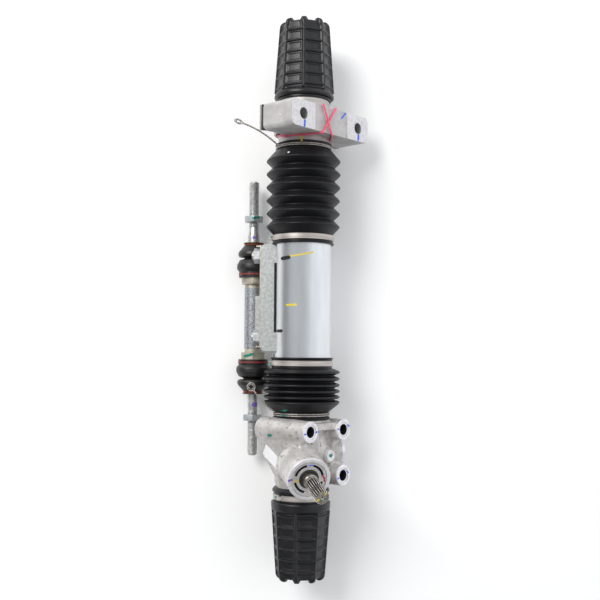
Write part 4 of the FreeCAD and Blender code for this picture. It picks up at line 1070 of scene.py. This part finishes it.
paints = {"blue": paint("blue_paint", (0.04, 0.14, 0.95)), "yellow": paint("yellow_paint", (0.84, 0.64, 0.05)),
          "green": paint("green_paint", (0.0, 0.24, 0.17)), "purple": paint("purple_paint", (0.22, 0.14, 0.50)),
          "black": paint("black_ink", (0.008, 0.008, 0.01)), "white": paint("white_paint", (0.8, 0.8, 0.8)),
          "red": paint("red_paint", (0.50, 0.03, 0.05))}
marks = [
    # name, paint, half width in pixels, pixels, body
    ("tick_block_left", "blue", 0.9, [(305, 119), (304.6, 127)], "housing"),
    ("tick_block_right", "blue", 0.9, [(358.5, 134), (358.2, 141)], "housing"),
    ("tick_block_step", "blue", 0.8, [(341, 119), (346, 113)], "housing"),
    ("nick_block", "white", 0.9, [(279.5, 113.6), (280.8, 114.5)], "housing"),
    ("neck_yellow", "yellow", 1.1, [(302, 135), (301.5, 141)], "housing"),
    ("sleeve_yellow", "yellow", 0.8, [(288, 256.5), (300, 254.6), (313.8, 252)], "carriage"),
    ("sleeve_black", "black", 1.9, [(280.8, 258.8), (289, 257.2), (290.5, 256.9)], "carriage"),
    ("sleeve_yellow_short", "yellow", 1.1, [(285.8, 305), (292, 304.8), (297.3, 304.3)], "carriage"),
    ("sleeve_black_dot", "black", 1.7, [(276.5, 331), (282.6, 330.8)], "carriage"),
    ("boss_left_tick_a", "blue", 0.9, [(303.8, 434.6), (307, 434.4)], "housing"),
    ("boss_left_tick_b", "blue", 0.9, [(315.4, 432.8), (318.6, 431.2)], "housing"),
    ("boss_right_tick_a", "blue", 0.8, [(337.4, 429.2), (340, 429.4)], "housing"),
    ("boss_right_tick_b", "blue", 0.7, [(347, 424.5), (350, 426.5)], "housing"),
    ("boss_low_tick_a", "blue", 0.8, [(337.3, 478.8), (340.2, 477.4)], "housing"),
    ("boss_low_tick_b", "blue", 0.7, [(346.5, 471), (348.9, 473)], "housing"),
    ("tower_yellow_a", "yellow", 0.9, [(281.5, 477), (287, 485)], "housing"),
    ("tower_purple_a", "purple", 1.2, [(283.2, 478.6), (288, 481.2), (292.5, 479.6)], "housing"),
    ("tower_yellow_b", "yellow", 1.0, [(295.2, 482.2), (299, 479.6)], "housing"),
    ("tower_red", "red", 0.9, [(322.4, 475.4), (324.4, 478.4), (324.6, 482)], "housing"),
    ("tower_blue", "blue", 0.5, [(308, 465.4), (314, 465.6)], "housing"),
    ("rod_blue", "purple", 1.5, [(252.2, 237.4), (257.2, 237.4)], "upper_rod"),
    ("upper_nut_green", "green", 1.1, [(252.3, 218.3), (256, 217.4), (259.6, 217.2)], "upper_rod"),
    ("lower_hex_green", "green", 1.3, [(243.6, 356.4), (249, 355.3), (253.6, 353.8)], "carriage"),
    ("shaft_yellow_b", "yellow", 0.7, [(324.5, 494.8), (327.5, 492.2)], "pinion"),
    ("rod_purple", "purple", 2.2, [(251.5, 404.8), (258.2, 404.8)], "lower_rod"),
    ("shaft_yellow", "yellow", 0.9, [(316.2, 501.4), (319.6, 499.2)], "pinion"),
    ("cuff_white", "white", 0.7, [(287.6, 152.8), (289.6, 151.4)], "housing"),
]
dabs = [
    # name, paint, centre, half sizes in pixels, body
    ("cover_clamp_green", "green", (275.6, 497), (1.6, 2.0), "housing"),
    ("upper_clamp_green", "green", (271, 236.5), (1.6, 1.9), "carriage"),
    ("lower_clamp_green", "green", (270, 363.8), (1.6, 2.1), "carriage"),
    ("lower_wire_green", "green", (278.5, 413), (4.0, 2.2), "housing"),
    ("boss_tube_green", "green", (269.5, 435.4), (2.4, 1.8), "housing"),
    ("plug_green", "green", (330.8, 455.6), (2.0, 1.9), "housing"),
    ("lower_cone_green", "green", (284.2, 410.6), (3.6, 1.5), "housing"),
    ("lower_cuff_green", "green", (283.4, 415.8), (2.4, 1.2), "housing"),
    ("shaft_green", "green", (324.6, 499.2), (1.3, 1.2), "pinion"),
    # painted shade: a black dab standing for the dark centre hole of the shaft end
    ("shaft_centre_hole_shade", "black", (322.6, 497.4), (1.0, 0.9), "pinion"),
]
label = {"corners": [(266, 444), (278.5, 457.5), (276.5, 469), (262.5, 454.5)], "columns": 18, "rows": 12,
         "lift": 0.25}
paintFilm = {"lift": 0.12, "widest": 2.6, "step": 0.5}


def laid(x, y, lift=paintFilm["lift"]):
    # the place that the camera sees at a pixel, lifted a little towards it
    ray = pixelRay(x, y)
    hit, place, *_ = scene.ray_cast(bpy.context.evaluated_depsgraph_get(), camera.location, ray)
    return place - ray * lift * mm if hit else None


def paintPiece(name, grid, material, body):
    made = bmesh.new()
    spots = [[made.verts.new(point) if point else None for point in row] for row in grid]
    for row, nextRow in zip(spots, spots[1:]):
        for corners in zip(row, row[1:], nextRow[1:], nextRow):
            if None in corners:
                continue
            # corners far apart lie on different pieces
            if max((one.co - other.co).length for one in corners for other in corners) <= paintFilm["widest"] * mm:
                made.faces.new(corners)
    for spot in [vertex for vertex in made.verts if not vertex.link_faces]:
        made.verts.remove(spot)
    mesh = toMesh(name, made)
    if mesh.polygons:
        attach(newPiece(name, mesh, material, 80), body)
    else:
        print("nothing to paint for", name)


def strokeGrid(pixels, half):
    # rows of surface points across a stroke, with rounded ends and an uneven edge
    random.seed(len(pixels) * 7 + int(pixels[0][0]))
    total = sum(math.dist(start, end) for start, end in zip(pixels, pixels[1:]))
    count = max(int(total / paintFilm["step"]), 2)
    grid = []
    for step in range(count + 1):
        want = total * step / count
        for start, end in zip(pixels, pixels[1:]):
            span = math.dist(start, end)
            if want <= span + 1e-6:
                break
            want -= span
        share = min(want / span, 1)
        x, y = start[0] + (end[0] - start[0]) * share, start[1] + (end[1] - start[1]) * share
        across = ((end[1] - start[1]) / span, -(end[0] - start[0]) / span)
        fromEnd = min(step, count - step) / count * total
        wide = half * math.sqrt(max(1 - max(1 - fromEnd / half, 0) ** 2, 0.1)) * random.uniform(0.85, 1.1)
        grid.append([laid(x + across[0] * wide * side / 2, y + across[1] * wide * side / 2)
                     for side in (-2, -1, 0, 1, 2)])
    return grid


def dabGrid(centre, half, rings=3, spokes=14):
    random.seed(int(centre[0] * 3 + centre[1]))
    edge = [random.uniform(0.8, 1.1) for _ in range(spokes)]
    edge.append(edge[0])
    grid = []
    for ring in range(rings + 1):
        row = []
        for spoke, reach in enumerate(edge):
            out = outward(2 * math.pi * spoke / spokes) * reach * ring / rings
            row.append(laid(centre[0] + half[0] * out.x, centre[1] + half[1] * out.y))
        grid.append(row)
    return grid


def labelGrid():
    first, second, third, fourth = (Vector(corner) for corner in label["corners"])
    grid = []
    for row in range(label["rows"] + 1):
        line = []
        for column in range(label["columns"] + 1):
            share = column / label["columns"]
            spot = first.lerp(second, share).lerp(fourth.lerp(third, share), row / label["rows"])
            line.append(laid(*spot, label["lift"]))
        grid.append(line)
    return grid


bpy.context.view_layer.update()
for name, colour, half, pixels, body in marks:
    paintPiece(name, strokeGrid(pixels, half), paints[colour], body)
for name, colour, centre, half, body in dabs:
    paintPiece(name, dabGrid(centre, half), paints[colour], body)
paintPiece("blank_label", labelGrid(), looks["paper"], "housing")
print("marks")


# Light and floor

light = {"window": (-1.75, 1.7, 2.6), "windowSize": 1.7, "windowPower": 84, "windowColour": (1.0, 0.985, 0.96),
         "room": (0.95, 0.975, 1.0), "sides": [(0.0, 0.10), (0.13, 0.60), (0.6, 0.50), (0.85, 1.08)], "endwise": 0.6,
         "back": (1.0, 1.0, 1.0), "table": 0.11}

lamp = bpy.data.lights.new("window", "AREA")
lamp.shape = "SQUARE"
lamp.size = light["windowSize"]
lamp.energy = light["windowPower"]
lamp.color = light["windowColour"]
window = bpy.data.objects.new("window", lamp)
scene.collection.objects.link(window)
window.location = light["window"]
window.rotation_euler = (-Vector(light["window"])).to_track_quat("-Z", "Y").to_euler()
unlit = bpy.data.collections.new("not_lit_by_window")
unlit.objects.link(plain["carriage_sleeve"])
window.light_linking.receiver_collection = unlit
unlit.collection_objects[0].light_linking.link_state = "EXCLUDE"

# the world is bright to the right and dark to the far left, and the camera sees it white
world = bpy.data.worlds.new("room")
scene.world = world
world.use_nodes = True
tree = world.node_tree
tree.nodes.clear()
around = newNode(tree, "ShaderNodeTexCoord").outputs["Generated"]
toSide = newNode(tree, "ShaderNodeSeparateXYZ", {"Vector": around}).outputs
toUnit = newNode(tree, "ShaderNodeMapRange", {"From Min": -1, "Value": toSide["X"]}).outputs["Result"]
brightness = colourRamp(tree, toUnit, [(position, (value,) * 3) for position, value in light["sides"]])
endwise = newNode(tree, "ShaderNodeMath", {0: toSide["Y"], 1: light["endwise"], 2: 1.0}, operation="MULTIPLY_ADD")
strength = newNode(tree, "ShaderNodeMath", {0: brightness, 1: endwise.outputs["Value"]}, operation="MULTIPLY")
room = newNode(tree, "ShaderNodeBackground", {"Color": (*light["room"], 1), "Strength": strength.outputs["Value"]})
white = newNode(tree, "ShaderNodeBackground", {"Color": (*light["back"], 1), "Strength": 1.0})
direct = newNode(tree, "ShaderNodeLightPath").outputs["Is Camera Ray"]
mix = newNode(tree, "ShaderNodeMixShader", {0: direct, 1: room.outputs["Background"], 2: white.outputs["Background"]})
newNode(tree, "ShaderNodeOutputWorld", {"Surface": mix.outputs["Shader"]})

half, drop = floor["size"] / 2, floor["drop"]
floorMesh = bpy.data.meshes.new("table")
floorMesh.from_pydata([(-half, -half, -drop), (half, -half, -drop), (half, half, -drop), (-half, half, -drop)], [],
                      [(0, 1, 2, 3)])
table = bpy.data.objects.new("table", floorMesh)
scene.collection.objects.link(table)
tableLook = surface("table_top", tuple(value * 0.995 for value in floor["colour"]), floor["colour"], (0.6, 0.7), 0, 3,
                    200, 0.01)
tableShader = tableLook.node_tree.nodes["Principled BSDF"]
tableShader.inputs["Emission Color"].default_value = (1, 1, 1, 1)
tableShader.inputs["Emission Strength"].default_value = light["table"]
floorMesh.materials.append(tableLook)
scene.view_settings.view_transform = "Standard"
print("light")
